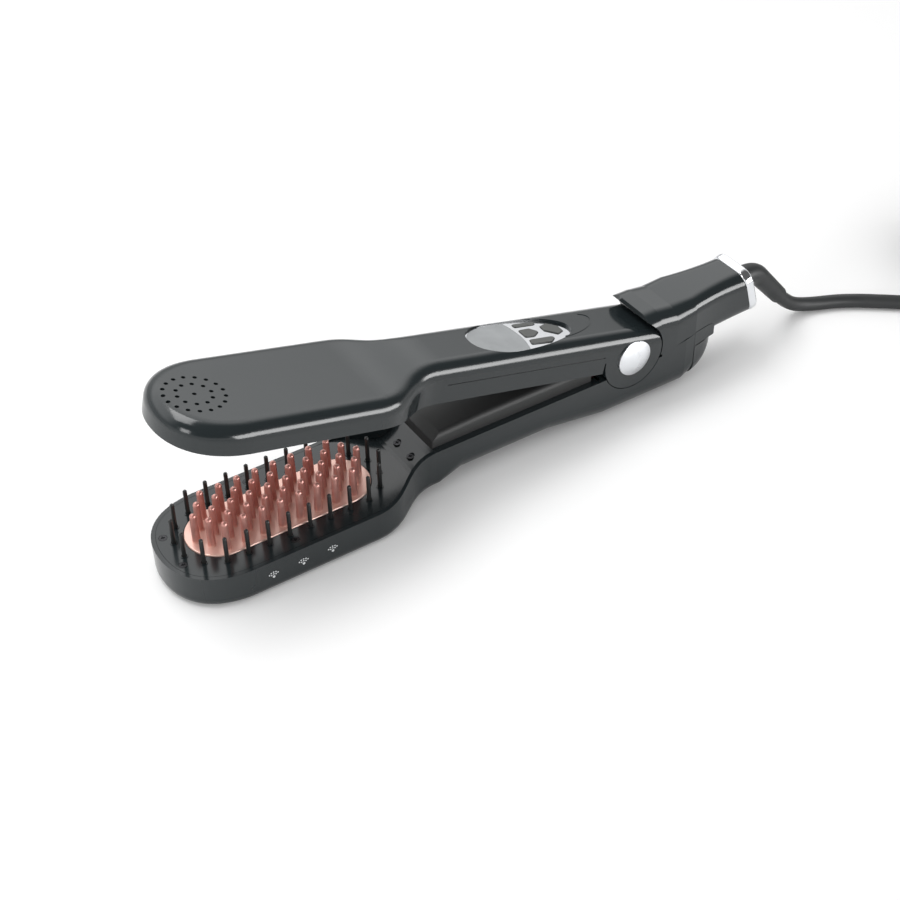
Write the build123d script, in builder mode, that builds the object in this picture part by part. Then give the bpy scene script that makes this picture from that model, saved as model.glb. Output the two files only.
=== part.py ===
from build123d import *
import os
from math import cos, pi, radians, sin, sqrt, tan

os.makedirs("parts", exist_ok=True)

# The part stands on z = 0, +X runs back to the cord, and the hinge axis is above the origin.
# Plan of both arms, measured ahead of the hinge axis
TIP_REACH = 230.0
HEAD_WIDTH = 56.0
TIP_LENGTH = 30.0
NOSE_FULLNESS = 0.62
NECK_FRONT = 142.0
NECK_BACK = 106.0
GRIP_WIDTH = 31.0
WALL = 2.0
FIT = 0.15
RUN_GAP = 0.4

# Heights of the lower arm above its resting face
PIVOT_HEIGHT = 30.5
FACE_HEIGHT = 16.0
RIM_HEIGHT = 24.0
GRIP_ARCH = 4.5
HEAD_EDGE = 4.0
GRIP_EDGE = 11.0

COVER_REAR = -118.0
NECK_BOSS_TOP = 15.1
NECK_SEAT = 17.6
COVER_CUT = 9.0

# Heights of the upper arm above the hinge axis, with the arms closed
OPEN_ANGLE = 14.0
CLOSED_GAP = 0.4
SEAM = -0.6
HEAD_UNDERSIDE = -4.4
HEAD_TOP = 7.6
GRIP_TOP = 12.0
PILLOW = 6.5

# Hinge
EAR_RADIUS = 16.0
EAR_THICKNESS = 2.8
CHEEK_THICKNESS = 2.2
BARREL_RADIUS = 7.5
PIN_RADIUS = 3.0
PIN_CLEARANCE = 0.05
BUSH_WALL = 1.0
CAP_RADIUS = 8.7
CAP_DOME = 1.9

# Tail
TAIL_NECK = 50.0
TAIL_LENGTH = 69.4
TAIL_WIDTH = 25.0
TAIL_HEIGHT = 24.0
TAIL_CENTRE = 34.9
TAIL_TILT = 15.7
TAIL_EDGE = 7.0
LIP_HEIGHT = 48.0
RING_THICKNESS = 5.0
RING_PROUD = 0.5

# Comb and pins
COMB_CENTRE = -174.5
PLATE_LENGTH = 85.0
PLATE_WIDTH = 30.0
PLATE_THICKNESS = 3.0
PLATE_PROUD = 0.5
TOOTH_HEIGHT = 14.6
TOOTH_ROOT = 1.8
TOOTH_TIP = 1.45
TOOTH_PITCH = 8.5
ROW_PITCH = 5.6
SIDE_PIN_COUNT = 24
SIDE_PIN_LENGTH = 94.0
SIDE_PIN_WIDTH = 36.0
SIDE_PIN_TIP_HEIGHT = 29.0
SIDE_PIN_RADIUS = 0.9
COLLAR_RADIUS = 1.6
COLLAR_HEIGHT = 0.35
COVER_THICKNESS = 1.8

# Cord
GUARD_DIAMETER = 11.0
GUARD_END_DIAMETER = 8.6
CORD_DIAMETER = 7.0
LAYER_TURNS = 1.5
COIL_LAYERS = 4
COIL_PITCH = 7.45
COIL_MEAN_RADIUS = 35.0
TIE_THICKNESS = 0.9

LOWER_SIDE = Plane.XZ
ANGLE = radians(OPEN_ANGLE)
PIVOT = (0, 0, PIVOT_HEIGHT)
ALONG_ARM = (cos(ANGLE), 0, -sin(ANGLE))
UPPER = Plane(origin=PIVOT, x_dir=ALONG_ARM, z_dir=(sin(ANGLE), 0, cos(ANGLE)))
UPPER_SIDE = Plane(origin=PIVOT, x_dir=ALONG_ARM, z_dir=(0, -1, 0))
TILT = radians(TAIL_TILT)
TAIL_END = Plane(origin=(TAIL_LENGTH, 0, TAIL_CENTRE), x_dir=(0, 1, 0), z_dir=(cos(TILT), 0, sin(TILT)))


def save(builder, name):
    builder.part.label = name
    export_step(builder.part, f"parts/{name}.step")


def plan_form(plane, inset, rear, front=-TIP_REACH - 10.0):
    """An arm seen from above, drawn in by inset, between front and rear."""
    half_head = HEAD_WIDTH / 2 - inset
    half_grip = GRIP_WIDTH / 2 - inset
    tip = -TIP_REACH + inset
    nose_end = -TIP_REACH + TIP_LENGTH
    middle = -(NECK_FRONT + NECK_BACK) / 2
    far_end = TAIL_LENGTH
    with BuildSketch(plane) as form:
        with BuildLine():
            nose = Bezier(
                (tip, 0),
                (tip, NOSE_FULLNESS * half_head),
                (nose_end - TIP_LENGTH * NOSE_FULLNESS, half_head),
                (nose_end, half_head),
            )
            head = Line(nose @ 1, (-NECK_FRONT, half_head))
            neck = Bezier(head @ 1, (middle, half_head), (middle, half_grip), (-NECK_BACK, half_grip))
            grip = Line(neck @ 1, (far_end, half_grip))
            Line(grip @ 1, (far_end, 0))
            mirror(about=Plane.XZ)
        make_face()
        with Locations(((front + rear) / 2, 0)):
            Rectangle(rear - front, 2 * HEAD_WIDTH, mode=Mode.INTERSECT)
    return form.sketch


def side_form(plane, top, bottom):
    """A side view between a top and a bottom line, each a list of points from front to rear."""
    with BuildSketch(plane) as form:
        with BuildLine():
            Polyline(*top, *reversed(bottom), close=True)
        make_face()
    return form.sketch


def neck_curve(start, end):
    """Points of a smooth step from start to end, level at both ends."""
    steps = 8
    points = []
    for i in range(steps + 1):
        share = i / steps
        ease = share * share * (3 - 2 * share)
        points.append((start[0] + share * (end[0] - start[0]), start[1] + ease * (end[1] - start[1])))
    return points


def tub_section(x, half_width, bottom, top, edge):
    """A cross-section with a flat top and rounded lower edges, at x."""
    with BuildSketch(Plane.YZ.offset(x)) as section:
        with Locations((0, (bottom + top) / 2)):
            Rectangle(2 * half_width, top - bottom)
        fillet(section.vertices().group_by(Axis.Y)[0], edge)
    return section.sketch


def tube_section(plane, width, height, edge, rise=0.0):
    with BuildSketch(plane) as section:
        with Locations((0, rise)):
            RectangleRounded(width, height, edge)
    return section.sketch


def stadium(plane, length, width):
    with BuildSketch(plane) as form:
        with Locations((COMB_CENTRE, 0)):
            SlotOverall(length, width)
    return form.sketch


def disc(plane, radius, x=0.0, y=0.0):
    with BuildSketch(plane) as form:
        with Locations((x, y)):
            Circle(radius)
    return form.sketch


def box_form(plane, x, y, length, width, corner=0.0):
    with BuildSketch(plane) as form:
        with Locations((x, y)):
            if corner:
                RectangleRounded(length, width, corner)
            else:
                Rectangle(length, width)
    return form.sketch


# Lower shell: a moulded bowl from the tip to the chrome ring
GRIP_START = -104.0
ARCH_FRONT = -92.0
ARCH_REAR = -45.0
KEEL_FRONT = -14.0
BULGE_START = 31.0
BULGE_END = 36.3
SEAM_FRONT = (16.8, 25.5)
SEAM_REAR = (TAIL_LENGTH + 8.0, 35.2)
RIM_LINE = [(-240, FACE_HEIGHT), (-NECK_FRONT, FACE_HEIGHT)]
RIM_LINE += neck_curve((-NECK_FRONT, FACE_HEIGHT), (-NECK_BACK, RIM_HEIGHT))[1:]


def bowl(inset, top):
    """The lower arm's outside, or its hollow where inset is the wall, up to a flat top."""
    half = GRIP_WIDTH / 2 - inset
    floor_line = [(-240, inset), (-142, inset)]
    floor_line += neck_curve((-142, inset), (GRIP_START - 3, GRIP_ARCH + inset))[1:]
    floor_line += [(GRIP_START, GRIP_ARCH + inset)]
    with BuildPart() as shape:
        extrude(plan_form(Plane.XY, inset, GRIP_START), amount=top)
        upper_line = [(-240, top + 1), (GRIP_START, top + 1)]
        extrude(side_form(LOWER_SIDE, upper_line, floor_line), amount=40, both=True, mode=Mode.INTERSECT)
        low = shape.edges().filter_by(lambda e: e.center().Z < inset + GRIP_ARCH + 0.5)
        low = low.filter_by(lambda e: abs(e.tangent_at(0.5).Y) < 0.99 or e.center().X < -200)
        fillet(low, HEAD_EDGE - inset / 2)
    edge = GRIP_EDGE - inset / 2
    first = tub_section(GRIP_START, half, GRIP_ARCH + inset, top, HEAD_EDGE - inset / 2)
    second = tub_section(ARCH_FRONT, half, GRIP_ARCH + inset, top, edge)
    third = tub_section(ARCH_REAR, half, GRIP_ARCH + inset, top, edge)
    fourth = tub_section(KEEL_FRONT, half, inset, top, edge)
    fifth = tub_section(BULGE_START, half, inset, top, edge)
    with BuildPart() as grip:
        loft([first, second])
        loft([second, third])
        loft([third, fourth])
        loft([fourth, fifth])
    return shape.part, grip.part


head_outside, grip_outside = bowl(0.0, RIM_HEIGHT + 12)
head_hollow, grip_hollow = bowl(WALL, RIM_HEIGHT + 14)
tail_floor = TAIL_CENTRE - TAIL_HEIGHT / 2

neck_rise = TAIL_CENTRE - 0.4
tail_sections = [
    tube_section(Plane.YZ.offset(BULGE_END), GRIP_WIDTH - 1.0, 23.0, 6.5, 34.5),
    tube_section(Plane.YZ.offset(TAIL_NECK), TAIL_WIDTH + 1.0, TAIL_HEIGHT - 0.5, 6.5, neck_rise),
    tube_section(TAIL_END, TAIL_WIDTH, TAIL_HEIGHT, TAIL_EDGE),
]
lining = 2 * WALL
inner_sections = [
    tube_section(Plane.YZ.offset(BULGE_END - 1), GRIP_WIDTH - 1.0 - lining, 23.0 - lining, 4.5, 34.5),
    tube_section(Plane.YZ.offset(TAIL_NECK), TAIL_WIDTH + 1.0 - lining,
                 TAIL_HEIGHT - 0.5 - lining, 4.5, neck_rise),
    tube_section(TAIL_END, TAIL_WIDTH - lining, TAIL_HEIGHT - lining, TAIL_EDGE - WALL),
]
with BuildPart() as tail_outside:
    loft(tail_sections)
with BuildPart() as tail_hollow:
    loft(inner_sections)

BAY_WIDTH = 21.6
BAY_HEIGHT = 14.6
BAY_FLOOR = 3.2
BAY_FRONT = -1.0
bay_middle = BAY_FLOOR + BAY_HEIGHT / 2
POST_PLACES = [(-96, 9.5), (-96, -9.5), (-28, 9.5), (-28, -9.5)]
BOARD_HEIGHT = 19.8

POST_RADIUS = 2.2
POST_FOOT = 8.0
cheek_inner = GRIP_WIDTH / 2 - EAR_THICKNESS - RUN_GAP - CHEEK_THICKNESS
ear_inner = GRIP_WIDTH / 2 - EAR_THICKNESS
rim_top = RIM_LINE + [(SEAM_FRONT[0], RIM_HEIGHT), SEAM_FRONT, SEAM_REAR]


def hinge_side(side, distance):
    """A plane across the hinge axis that faces outwards, at a distance from the middle."""
    return Plane(origin=(0, side * distance, PIVOT_HEIGHT), x_dir=(1, 0, 0), z_dir=(0, side, 0))


# Walls that close the shell round the hinge ears, and the walls of the tank bay
with BuildPart() as ear_walls:
    for side in (-1, 1):
        extrude(disc(hinge_side(side, cheek_inner), EAR_RADIUS + RUN_GAP + WALL),
                amount=GRIP_WIDTH / 2 - cheek_inner)
    add(grip_outside, mode=Mode.INTERSECT)
    under_rim = side_form(LOWER_SIDE, [(-60, RIM_HEIGHT), (60, RIM_HEIGHT)], [(-60, 0), (60, 0)])
    extrude(under_rim, amount=40, both=True, mode=Mode.INTERSECT)
bay_walls_plane = Plane.YZ.offset(BAY_FRONT - WALL)
bay_length = BULGE_START - BAY_FRONT + WALL + 1
with BuildPart() as bay_walls:
    extrude(box_form(bay_walls_plane, 0, bay_middle, BAY_WIDTH + lining, BAY_HEIGHT + lining, 3.0),
            amount=bay_length)
    add(grip_outside, mode=Mode.INTERSECT)

HEAD_SCREWS = [(-178.5, -21.6), (-178.5, 21.6), (-223.5, 9.5), (-223.5, -9.5)]
NECK_SCREWS = [(-113.0, -5.5), (-113.0, 5.5)]
TAIL_SCREWS = [(57.0, -7.5), (57.0, 7.5)]
SCREW_RADIUS = 0.8
SCREW_HEAD_RADIUS = 1.7
SCREW_HEAD_HEIGHT = 0.9
SCREW_LENGTH = 5.0
SCREW_GAP = 0.05
BOSS_RADIUS = 1.7
TAIL_BOSS_TOP = 33.0
tail_seat = tail_floor + 1.2
with BuildPart() as lower_shell:
    add(head_outside)
    add(grip_outside)
    # The bulge under the tail closes in a rounded end
    bulge_root = tub_section(BULGE_START, GRIP_WIDTH / 2, 0, RIM_HEIGHT + 12, GRIP_EDGE)
    bulge_end = tub_section(BULGE_END, GRIP_WIDTH / 2 - 0.5, 2.2, RIM_HEIGHT + 12, GRIP_EDGE)
    loft([bulge_root, bulge_end])
    add(tail_outside.part)
    below_seam = side_form(LOWER_SIDE, rim_top, [(-240, -1), (SEAM_REAR[0], -1)])
    extrude(below_seam, amount=40, both=True, mode=Mode.INTERSECT)
    add(head_hollow, mode=Mode.SUBTRACT)
    add(grip_hollow, mode=Mode.SUBTRACT)
    add(tail_hollow.part, mode=Mode.SUBTRACT)
    add(ear_walls.part)
    add(bay_walls.part)
    for side in (-1, 1):
        extrude(disc(hinge_side(side, cheek_inner), BARREL_RADIUS), amount=CHEEK_THICKNESS)
        pocket = hinge_side(side, cheek_inner + CHEEK_THICKNESS)
        extrude(disc(pocket, EAR_RADIUS + RUN_GAP), amount=20, mode=Mode.SUBTRACT)
        bore = disc(hinge_side(side, cheek_inner), PIN_RADIUS + PIN_CLEARANCE + BUSH_WALL + SCREW_GAP)
        extrude(bore, amount=CHEEK_THICKNESS, mode=Mode.SUBTRACT)
    bay_hole = box_form(Plane.YZ.offset(BAY_FRONT), 0, bay_middle, BAY_WIDTH, BAY_HEIGHT, 3.0)
    extrude(bay_hole, amount=60, mode=Mode.SUBTRACT)
    extrude(disc(bay_walls_plane, 3.2, 0, bay_middle), amount=WALL, mode=Mode.SUBTRACT)
    # Posts under the power board, and bosses under the two covers
    for x, y in POST_PLACES:
        extrude(disc(Plane.XY.offset(POST_FOOT), POST_RADIUS, x, y), amount=BOARD_HEIGHT - POST_FOOT)
    for x, y in HEAD_SCREWS:
        extrude(disc(Plane.XY.offset(WALL - 0.5), BOSS_RADIUS, x, y),
                amount=FACE_HEIGHT - COVER_THICKNESS - WALL + 0.5)
    for x, y in NECK_SCREWS:
        extrude(disc(Plane.XY.offset(GRIP_ARCH + 1), BOSS_RADIUS, x, y),
                amount=NECK_BOSS_TOP - GRIP_ARCH - 1)
    for x, y in TAIL_SCREWS:
        extrude(disc(Plane.XY.offset(tail_floor + 1.5), BOSS_RADIUS, x, y),
                amount=TAIL_BOSS_TOP - tail_floor - 1.5)
    for x, y in HEAD_SCREWS + NECK_SCREWS:
        with Locations((x, y, FACE_HEIGHT)):
            Cylinder(SCREW_RADIUS + SCREW_GAP, 2 * SCREW_LENGTH + 2, mode=Mode.SUBTRACT)
    for x, y in TAIL_SCREWS:
        with Locations((x, y, TAIL_BOSS_TOP)):
            Cylinder(SCREW_RADIUS + SCREW_GAP, 40, mode=Mode.SUBTRACT)
        extrude(disc(Plane.XY.offset(tail_seat), SCREW_HEAD_RADIUS + FIT, x, y),
                amount=-10, mode=Mode.SUBTRACT)
save(lower_shell, "lower_shell")

# Head cover: the plate round the comb
COVER_INSET = WALL + FIT
face_floor = FACE_HEIGHT - COVER_THICKNESS
straight = (SIDE_PIN_LENGTH - SIDE_PIN_WIDTH) / 2
turn = SIDE_PIN_WIDTH / 2
lap = 4 * straight + 2 * pi * turn
side_pin_places = []
for i in range(SIDE_PIN_COUNT):
    along = (i + 0.5) * lap / SIDE_PIN_COUNT
    if along < 2 * straight:
        side_pin_places.append((COMB_CENTRE - straight + along, turn))
    elif along < 2 * straight + pi * turn:
        bend = (along - 2 * straight) / turn
        side_pin_places.append((COMB_CENTRE + straight + turn * sin(bend), turn * cos(bend)))
    elif along < 4 * straight + pi * turn:
        side_pin_places.append((COMB_CENTRE + straight - (along - 2 * straight - pi * turn), -turn))
    else:
        bend = (along - 4 * straight - pi * turn) / turn
        side_pin_places.append((COMB_CENTRE - straight - turn * sin(bend), -turn * cos(bend)))
with BuildPart() as head_cover:
    extrude(plan_form(Plane.XY.offset(face_floor), COVER_INSET, COVER_REAR), amount=COVER_THICKNESS)
    extrude(stadium(Plane.XY.offset(face_floor), PLATE_LENGTH + 0.6, PLATE_WIDTH + 0.6),
            amount=COVER_THICKNESS,
            mode=Mode.SUBTRACT)
    with Locations(*[(x, y, FACE_HEIGHT) for x, y in side_pin_places]):
        Cylinder(COLLAR_RADIUS, 2 * COLLAR_HEIGHT)
        Cylinder(SIDE_PIN_RADIUS + 0.3, 2 * COVER_THICKNESS + 1, mode=Mode.SUBTRACT)
    with Locations(*[(x, y, FACE_HEIGHT) for x, y in HEAD_SCREWS]):
        CounterBoreHole(SCREW_RADIUS + FIT, SCREW_HEAD_RADIUS + FIT, SCREW_HEAD_HEIGHT, COVER_THICKNESS)
save(head_cover, "head_cover")

# Comb plate: a coated metal plate with round-tipped teeth in staggered rows
plate_floor = FACE_HEIGHT + PLATE_PROUD - PLATE_THICKNESS
plate_top = FACE_HEIGHT + PLATE_PROUD
ROW_TEETH = [8, 9, 10, 9, 8]
tooth_places = []
for row, count in enumerate(ROW_TEETH):
    y = (row - 2) * ROW_PITCH
    for k in range(count):
        tooth_places.append((COMB_CENTRE + (k - (count - 1) / 2) * TOOTH_PITCH, y))
shaft = TOOTH_HEIGHT - TOOTH_TIP
with BuildPart() as comb_plate:
    extrude(stadium(Plane.XY.offset(plate_floor), PLATE_LENGTH, PLATE_WIDTH), amount=PLATE_THICKNESS)
    rim = comb_plate.faces().sort_by(Axis.Z)[-1].edges()
    fillet(rim, 0.5)
    with Locations(*[(x, y, plate_top - 0.5) for x, y in tooth_places]):
        Cone(TOOTH_ROOT, TOOTH_TIP, shaft + 0.5, align=(Align.CENTER, Align.CENTER, Align.MIN))
    with Locations(*[(x, y, plate_top + shaft) for x, y in tooth_places]):
        Sphere(TOOTH_TIP)
save(comb_plate, "comb_plate")

# Side pins: thin round-tipped pins on one ring-shaped strip under the cover
STRIP_THICKNESS = 1.6
strip_floor = face_floor - 0.1 - STRIP_THICKNESS
with BuildPart() as side_pins:
    extrude(stadium(Plane.XY.offset(strip_floor), SIDE_PIN_LENGTH + 3.6, SIDE_PIN_WIDTH + 3.6),
            amount=STRIP_THICKNESS)
    extrude(stadium(Plane.XY.offset(strip_floor), SIDE_PIN_LENGTH - 3.6, SIDE_PIN_WIDTH - 3.6),
            amount=STRIP_THICKNESS,
            mode=Mode.SUBTRACT)
    pin_top = SIDE_PIN_TIP_HEIGHT - SIDE_PIN_RADIUS
    pin_root = strip_floor + STRIP_THICKNESS / 2
    with Locations(*[(x, y, pin_root) for x, y in side_pin_places]):
        Cylinder(SIDE_PIN_RADIUS, pin_top - pin_root, align=(Align.CENTER, Align.CENTER, Align.MIN))
    with Locations(*[(x, y, pin_top) for x, y in side_pin_places]):
        Sphere(SIDE_PIN_RADIUS)
save(side_pins, "side_pins")

# Steam chamber: a cast tray under the comb plate, with its seal and inlet
SEAL_THICKNESS = 0.8
CHAMBER_FLOOR = 6.6
CHAMBER_LENGTH = PLATE_LENGTH - 3.0
CHAMBER_WIDTH = PLATE_WIDTH - 3.0
chamber_top = plate_floor - SEAL_THICKNESS
NIPPLE_RADIUS = 1.6
HOSE_RADIUS = 2.6
LINE_HEIGHT = 9.6
nipple_root = COMB_CENTRE + CHAMBER_LENGTH / 2 - 2.0
NIPPLE_LENGTH = 9.0
with BuildPart() as chamber_seal:
    extrude(stadium(Plane.XY.offset(chamber_top), CHAMBER_LENGTH, CHAMBER_WIDTH), amount=SEAL_THICKNESS)
    extrude(stadium(Plane.XY.offset(chamber_top), CHAMBER_LENGTH - 6, CHAMBER_WIDTH - 6),
            amount=SEAL_THICKNESS,
            mode=Mode.SUBTRACT)
save(chamber_seal, "chamber_seal")
with BuildPart() as steam_chamber:
    extrude(stadium(Plane.XY.offset(CHAMBER_FLOOR), CHAMBER_LENGTH, CHAMBER_WIDTH),
            amount=chamber_top - CHAMBER_FLOOR)
    extrude(stadium(Plane.XY.offset(CHAMBER_FLOOR + 1.6), CHAMBER_LENGTH - 6, CHAMBER_WIDTH - 6), amount=20,
            mode=Mode.SUBTRACT)
    extrude(disc(Plane.YZ.offset(nipple_root), NIPPLE_RADIUS, 0, LINE_HEIGHT), amount=NIPPLE_LENGTH)
    extrude(disc(Plane.YZ.offset(nipple_root - 4), NIPPLE_RADIUS - 0.7, 0, LINE_HEIGHT),
            amount=NIPPLE_LENGTH + 5,
            mode=Mode.SUBTRACT)
save(steam_chamber, "steam_chamber")

# Heater under the chamber, held up by a spring strip on two bosses
HEATER_THICKNESS = 2.2
CLAMP_THICKNESS = 0.8
with BuildPart() as ceramic_heater:
    extrude(box_form(Plane.XY.offset(CHAMBER_FLOOR - HEATER_THICKNESS), COMB_CENTRE, 0, 60, 12, 0.8),
            amount=HEATER_THICKNESS)
save(ceramic_heater, "ceramic_heater")
clamp_top = CHAMBER_FLOOR - HEATER_THICKNESS
with BuildPart() as heater_clamp:
    extrude(box_form(Plane.XY.offset(clamp_top - CLAMP_THICKNESS), COMB_CENTRE, 0, 66, 15, 2.0),
            amount=CLAMP_THICKNESS)
    for end in (-1, 1):
        extrude(box_form(Plane.XY.offset(WALL), COMB_CENTRE + end * 31, 0, 2.0, 15),
                amount=clamp_top - WALL - 0.2)
save(heater_clamp, "heater_clamp")

# Thermal fuse and thermistor lie against the chamber on small brackets
FUSE_RADIUS = 1.8
with BuildPart() as thermal_fuse:
    fuse_y = CHAMBER_WIDTH / 2 + 0.1 + FUSE_RADIUS
    fuse_z = CHAMBER_FLOOR + 2.2
    extrude(disc(Plane.YZ.offset(-168), FUSE_RADIUS, fuse_y, fuse_z), amount=11)
    extrude(disc(Plane.YZ.offset(-174), 0.45, fuse_y, fuse_z), amount=23)
save(thermal_fuse, "thermal_fuse")
BEAD_RADIUS = 1.3
with BuildPart() as thermistor:
    extrude(disc(Plane.YZ.offset(-190), BEAD_RADIUS, -(CHAMBER_WIDTH / 2 + 0.1 + BEAD_RADIUS), fuse_z),
            amount=5)
save(thermistor, "thermistor")

# Grip cover: slopes up from the head to the grip and carries the power board's housing
GRIP_COVER_TOP = RIM_HEIGHT - 0.3
GRIP_COVER_THICKNESS = 1.6
BLOCK_FRONT = -106.0
BLOCK_REAR = -21.0
BLOCK_WIDTH = 23.6
BLOCK_TOP = 31.0
BLOCK_WALL = 1.6
neck_start = (COVER_REAR, FACE_HEIGHT)
neck_end = (-103.0, GRIP_COVER_TOP)
cover_line = neck_curve(neck_start, neck_end) + [(BLOCK_REAR + 2.5, GRIP_COVER_TOP)]
cover_underside = [(x, z - GRIP_COVER_THICKNESS) for x, z in cover_line]
with BuildPart() as grip_cover:
    extrude(plan_form(Plane.XY.offset(10), COVER_INSET, BLOCK_REAR + 2.5, COVER_REAR), amount=20)
    extrude(side_form(LOWER_SIDE, cover_line, cover_underside), amount=40, both=True, mode=Mode.INTERSECT)
    window = box_form(Plane.XY.offset(10), (BLOCK_FRONT + BLOCK_REAR) / 2 + 1, 0,
                      BLOCK_REAR - BLOCK_FRONT - 12, BLOCK_WIDTH - 6, 1.5)
    extrude(window, amount=20, mode=Mode.SUBTRACT)
    for x, y in NECK_SCREWS:
        extrude(disc(Plane.XY.offset(10), SCREW_RADIUS + FIT, x, y), amount=20, mode=Mode.SUBTRACT)
        extrude(disc(Plane.XY.offset(NECK_SEAT), SCREW_HEAD_RADIUS + FIT, x, y),
                amount=20, mode=Mode.SUBTRACT)
save(grip_cover, "grip_cover")

block_line = [(BLOCK_FRONT, GRIP_COVER_TOP - 3.0), (BLOCK_FRONT + 0.6, 27.5), (BLOCK_FRONT + 5.0, 30.2)]
block_line += [(BLOCK_FRONT + 26, BLOCK_TOP), (BLOCK_REAR, BLOCK_TOP), (BLOCK_REAR, GRIP_COVER_TOP)]
with BuildPart() as inner_housing:
    base = [(BLOCK_FRONT, GRIP_COVER_TOP - 3.0), (BLOCK_REAR, GRIP_COVER_TOP - 3.0)]
    extrude(side_form(LOWER_SIDE, block_line, base), amount=BLOCK_WIDTH / 2, both=True)
    fillet(inner_housing.edges().filter_by(Axis.X, tolerance=12).group_by(Axis.Z)[-1], 2.5)
    with BuildSketch(Plane.XY.offset(10)) as hollow:
        with Locations(((BLOCK_FRONT + BLOCK_REAR) / 2 + 1, 0)):
            Rectangle(BLOCK_REAR - BLOCK_FRONT - 10, BLOCK_WIDTH - 2 * BLOCK_WALL - 1)
    extrude(amount=BLOCK_TOP - BLOCK_WALL - 10 - 0.8, mode=Mode.SUBTRACT)
    under_cover = side_form(LOWER_SIDE, cover_line, [(-130, 0), (0, 0)])
    extrude(under_cover, amount=40, both=True, mode=Mode.SUBTRACT)
save(inner_housing, "inner_housing")

# Power board and its parts, on the posts of the lower shell
BOARD_THICKNESS = 1.2
with BuildPart() as power_board:
    extrude(box_form(Plane.XY.offset(BOARD_HEIGHT), -62, 0, 74, 22.6, 1.0), amount=BOARD_THICKNESS)
save(power_board, "power_board")
board_top = BOARD_HEIGHT + BOARD_THICKNESS
with BuildPart() as board_parts:
    extrude(box_form(Plane.XY.offset(board_top), -86, 0, 13, 10, 0.8), amount=6.5)
    extrude(box_form(Plane.XY.offset(board_top), -48, 4.5, 10, 6, 0.5), amount=7.0)
    extrude(disc(Plane.XY.offset(board_top), 4.0, -66, -3.5), amount=7.4)
    extrude(disc(Plane.XY.offset(board_top), 2.5, -56, 5.0), amount=6.0)
    extrude(box_form(Plane.XY.offset(board_top), -36, -3.5, 6, 9, 0.5), amount=5.0)
save(board_parts, "board_parts")

# Pump and water line
PUMP_CENTRE = -46.0
PUMP_LENGTH = 24.0
PUMP_WIDTH = 15.0
PUMP_FLOOR = GRIP_ARCH + WALL + 1.1
PUMP_HEIGHT = 11.8
pump_front = PUMP_CENTRE - PUMP_LENGTH / 2
pump_rear = PUMP_CENTRE + PUMP_LENGTH / 2
with BuildPart() as water_pump:
    extrude(box_form(Plane.XY.offset(PUMP_FLOOR), PUMP_CENTRE, 0, PUMP_LENGTH, PUMP_WIDTH, 3.0),
            amount=PUMP_HEIGHT)
    extrude(disc(Plane.YZ.offset(pump_front - 8), NIPPLE_RADIUS, 0, LINE_HEIGHT), amount=9)
    extrude(disc(Plane.YZ.offset(pump_rear - 1), NIPPLE_RADIUS, 0, LINE_HEIGHT), amount=9)
save(water_pump, "water_pump")


def hose(name, start, end):
    """A straight silicone hose pushed over the nipples at both ends."""
    with BuildPart() as tube:
        extrude(disc(Plane.YZ.offset(start), HOSE_RADIUS, 0, LINE_HEIGHT), amount=end - start)
        extrude(disc(Plane.YZ.offset(start), NIPPLE_RADIUS, 0, LINE_HEIGHT),
                amount=end - start, mode=Mode.SUBTRACT)
    save(tube, name)


SOCKET_REACH = 6.0
socket_front = BAY_FRONT - WALL - SOCKET_REACH
hose("steam_hose", nipple_root + 2.5, pump_front - 0.2)
hose("suction_hose", pump_rear + 0.2, socket_front - 0.2)
with BuildPart() as tank_socket:
    extrude(disc(Plane.YZ.offset(socket_front - 7), NIPPLE_RADIUS, 0, LINE_HEIGHT), amount=8)
    extrude(disc(Plane.YZ.offset(socket_front), 5.0, 0, bay_middle), amount=SOCKET_REACH - 0.1)
    extrude(disc(Plane.YZ.offset(BAY_FRONT - WALL - 0.1), 3.0, 0, bay_middle), amount=WALL + 0.1)
    extrude(disc(Plane.YZ.offset(BAY_FRONT - 3.5), 1.8, 0, bay_middle), amount=20, mode=Mode.SUBTRACT)
save(tank_socket, "tank_socket")

# Water tank: a smoky drawer that slides out to the rear, its end closing the bulge of the tail
TANK_GAP = 0.4
TANK_WALL = 1.5
TANK_END = 48.6
tank_front = BAY_FRONT + TANK_GAP + 1.0
tank_width = BAY_WIDTH - 2 * TANK_GAP
tank_height = BAY_HEIGHT - 2 * TANK_GAP
end_face = BULGE_END + TANK_GAP
with BuildPart() as water_tank:
    body = box_form(Plane.YZ.offset(tank_front), 0, bay_middle, tank_width, tank_height, 2.6)
    extrude(body, amount=end_face - tank_front + 1)
    loft([
        tub_section(end_face, GRIP_WIDTH / 2 - 0.5, 2.6, TAIL_CENTRE - TAIL_HEIGHT / 2 - 1.6, 9.0),
        tub_section(end_face + 6, GRIP_WIDTH / 2 - 1.6, 6.4, TAIL_CENTRE - TAIL_HEIGHT / 2 - 1.6, 7.0),
        tub_section(TANK_END, GRIP_WIDTH / 2 - 4.6, 15.5, TAIL_CENTRE - TAIL_HEIGHT / 2 - 1.6, 2.6),
    ])
    hollow = box_form(Plane.YZ.offset(tank_front + TANK_WALL), 0, bay_middle, tank_width - 2 * TANK_WALL,
                      tank_height - 2 * TANK_WALL, 1.5)
    extrude(hollow, amount=end_face - tank_front - TANK_WALL, mode=Mode.SUBTRACT)
    extrude(disc(Plane.YZ.offset(tank_front - 1), 2.4, 0, bay_middle), amount=4, mode=Mode.SUBTRACT)
    plug_seat = Plane.XY.offset(BAY_FLOOR + TANK_GAP - 1)
    extrude(disc(plug_seat, 4.2, 24, 0), amount=TANK_WALL + 1, mode=Mode.SUBTRACT)
save(water_tank, "water_tank")
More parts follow.
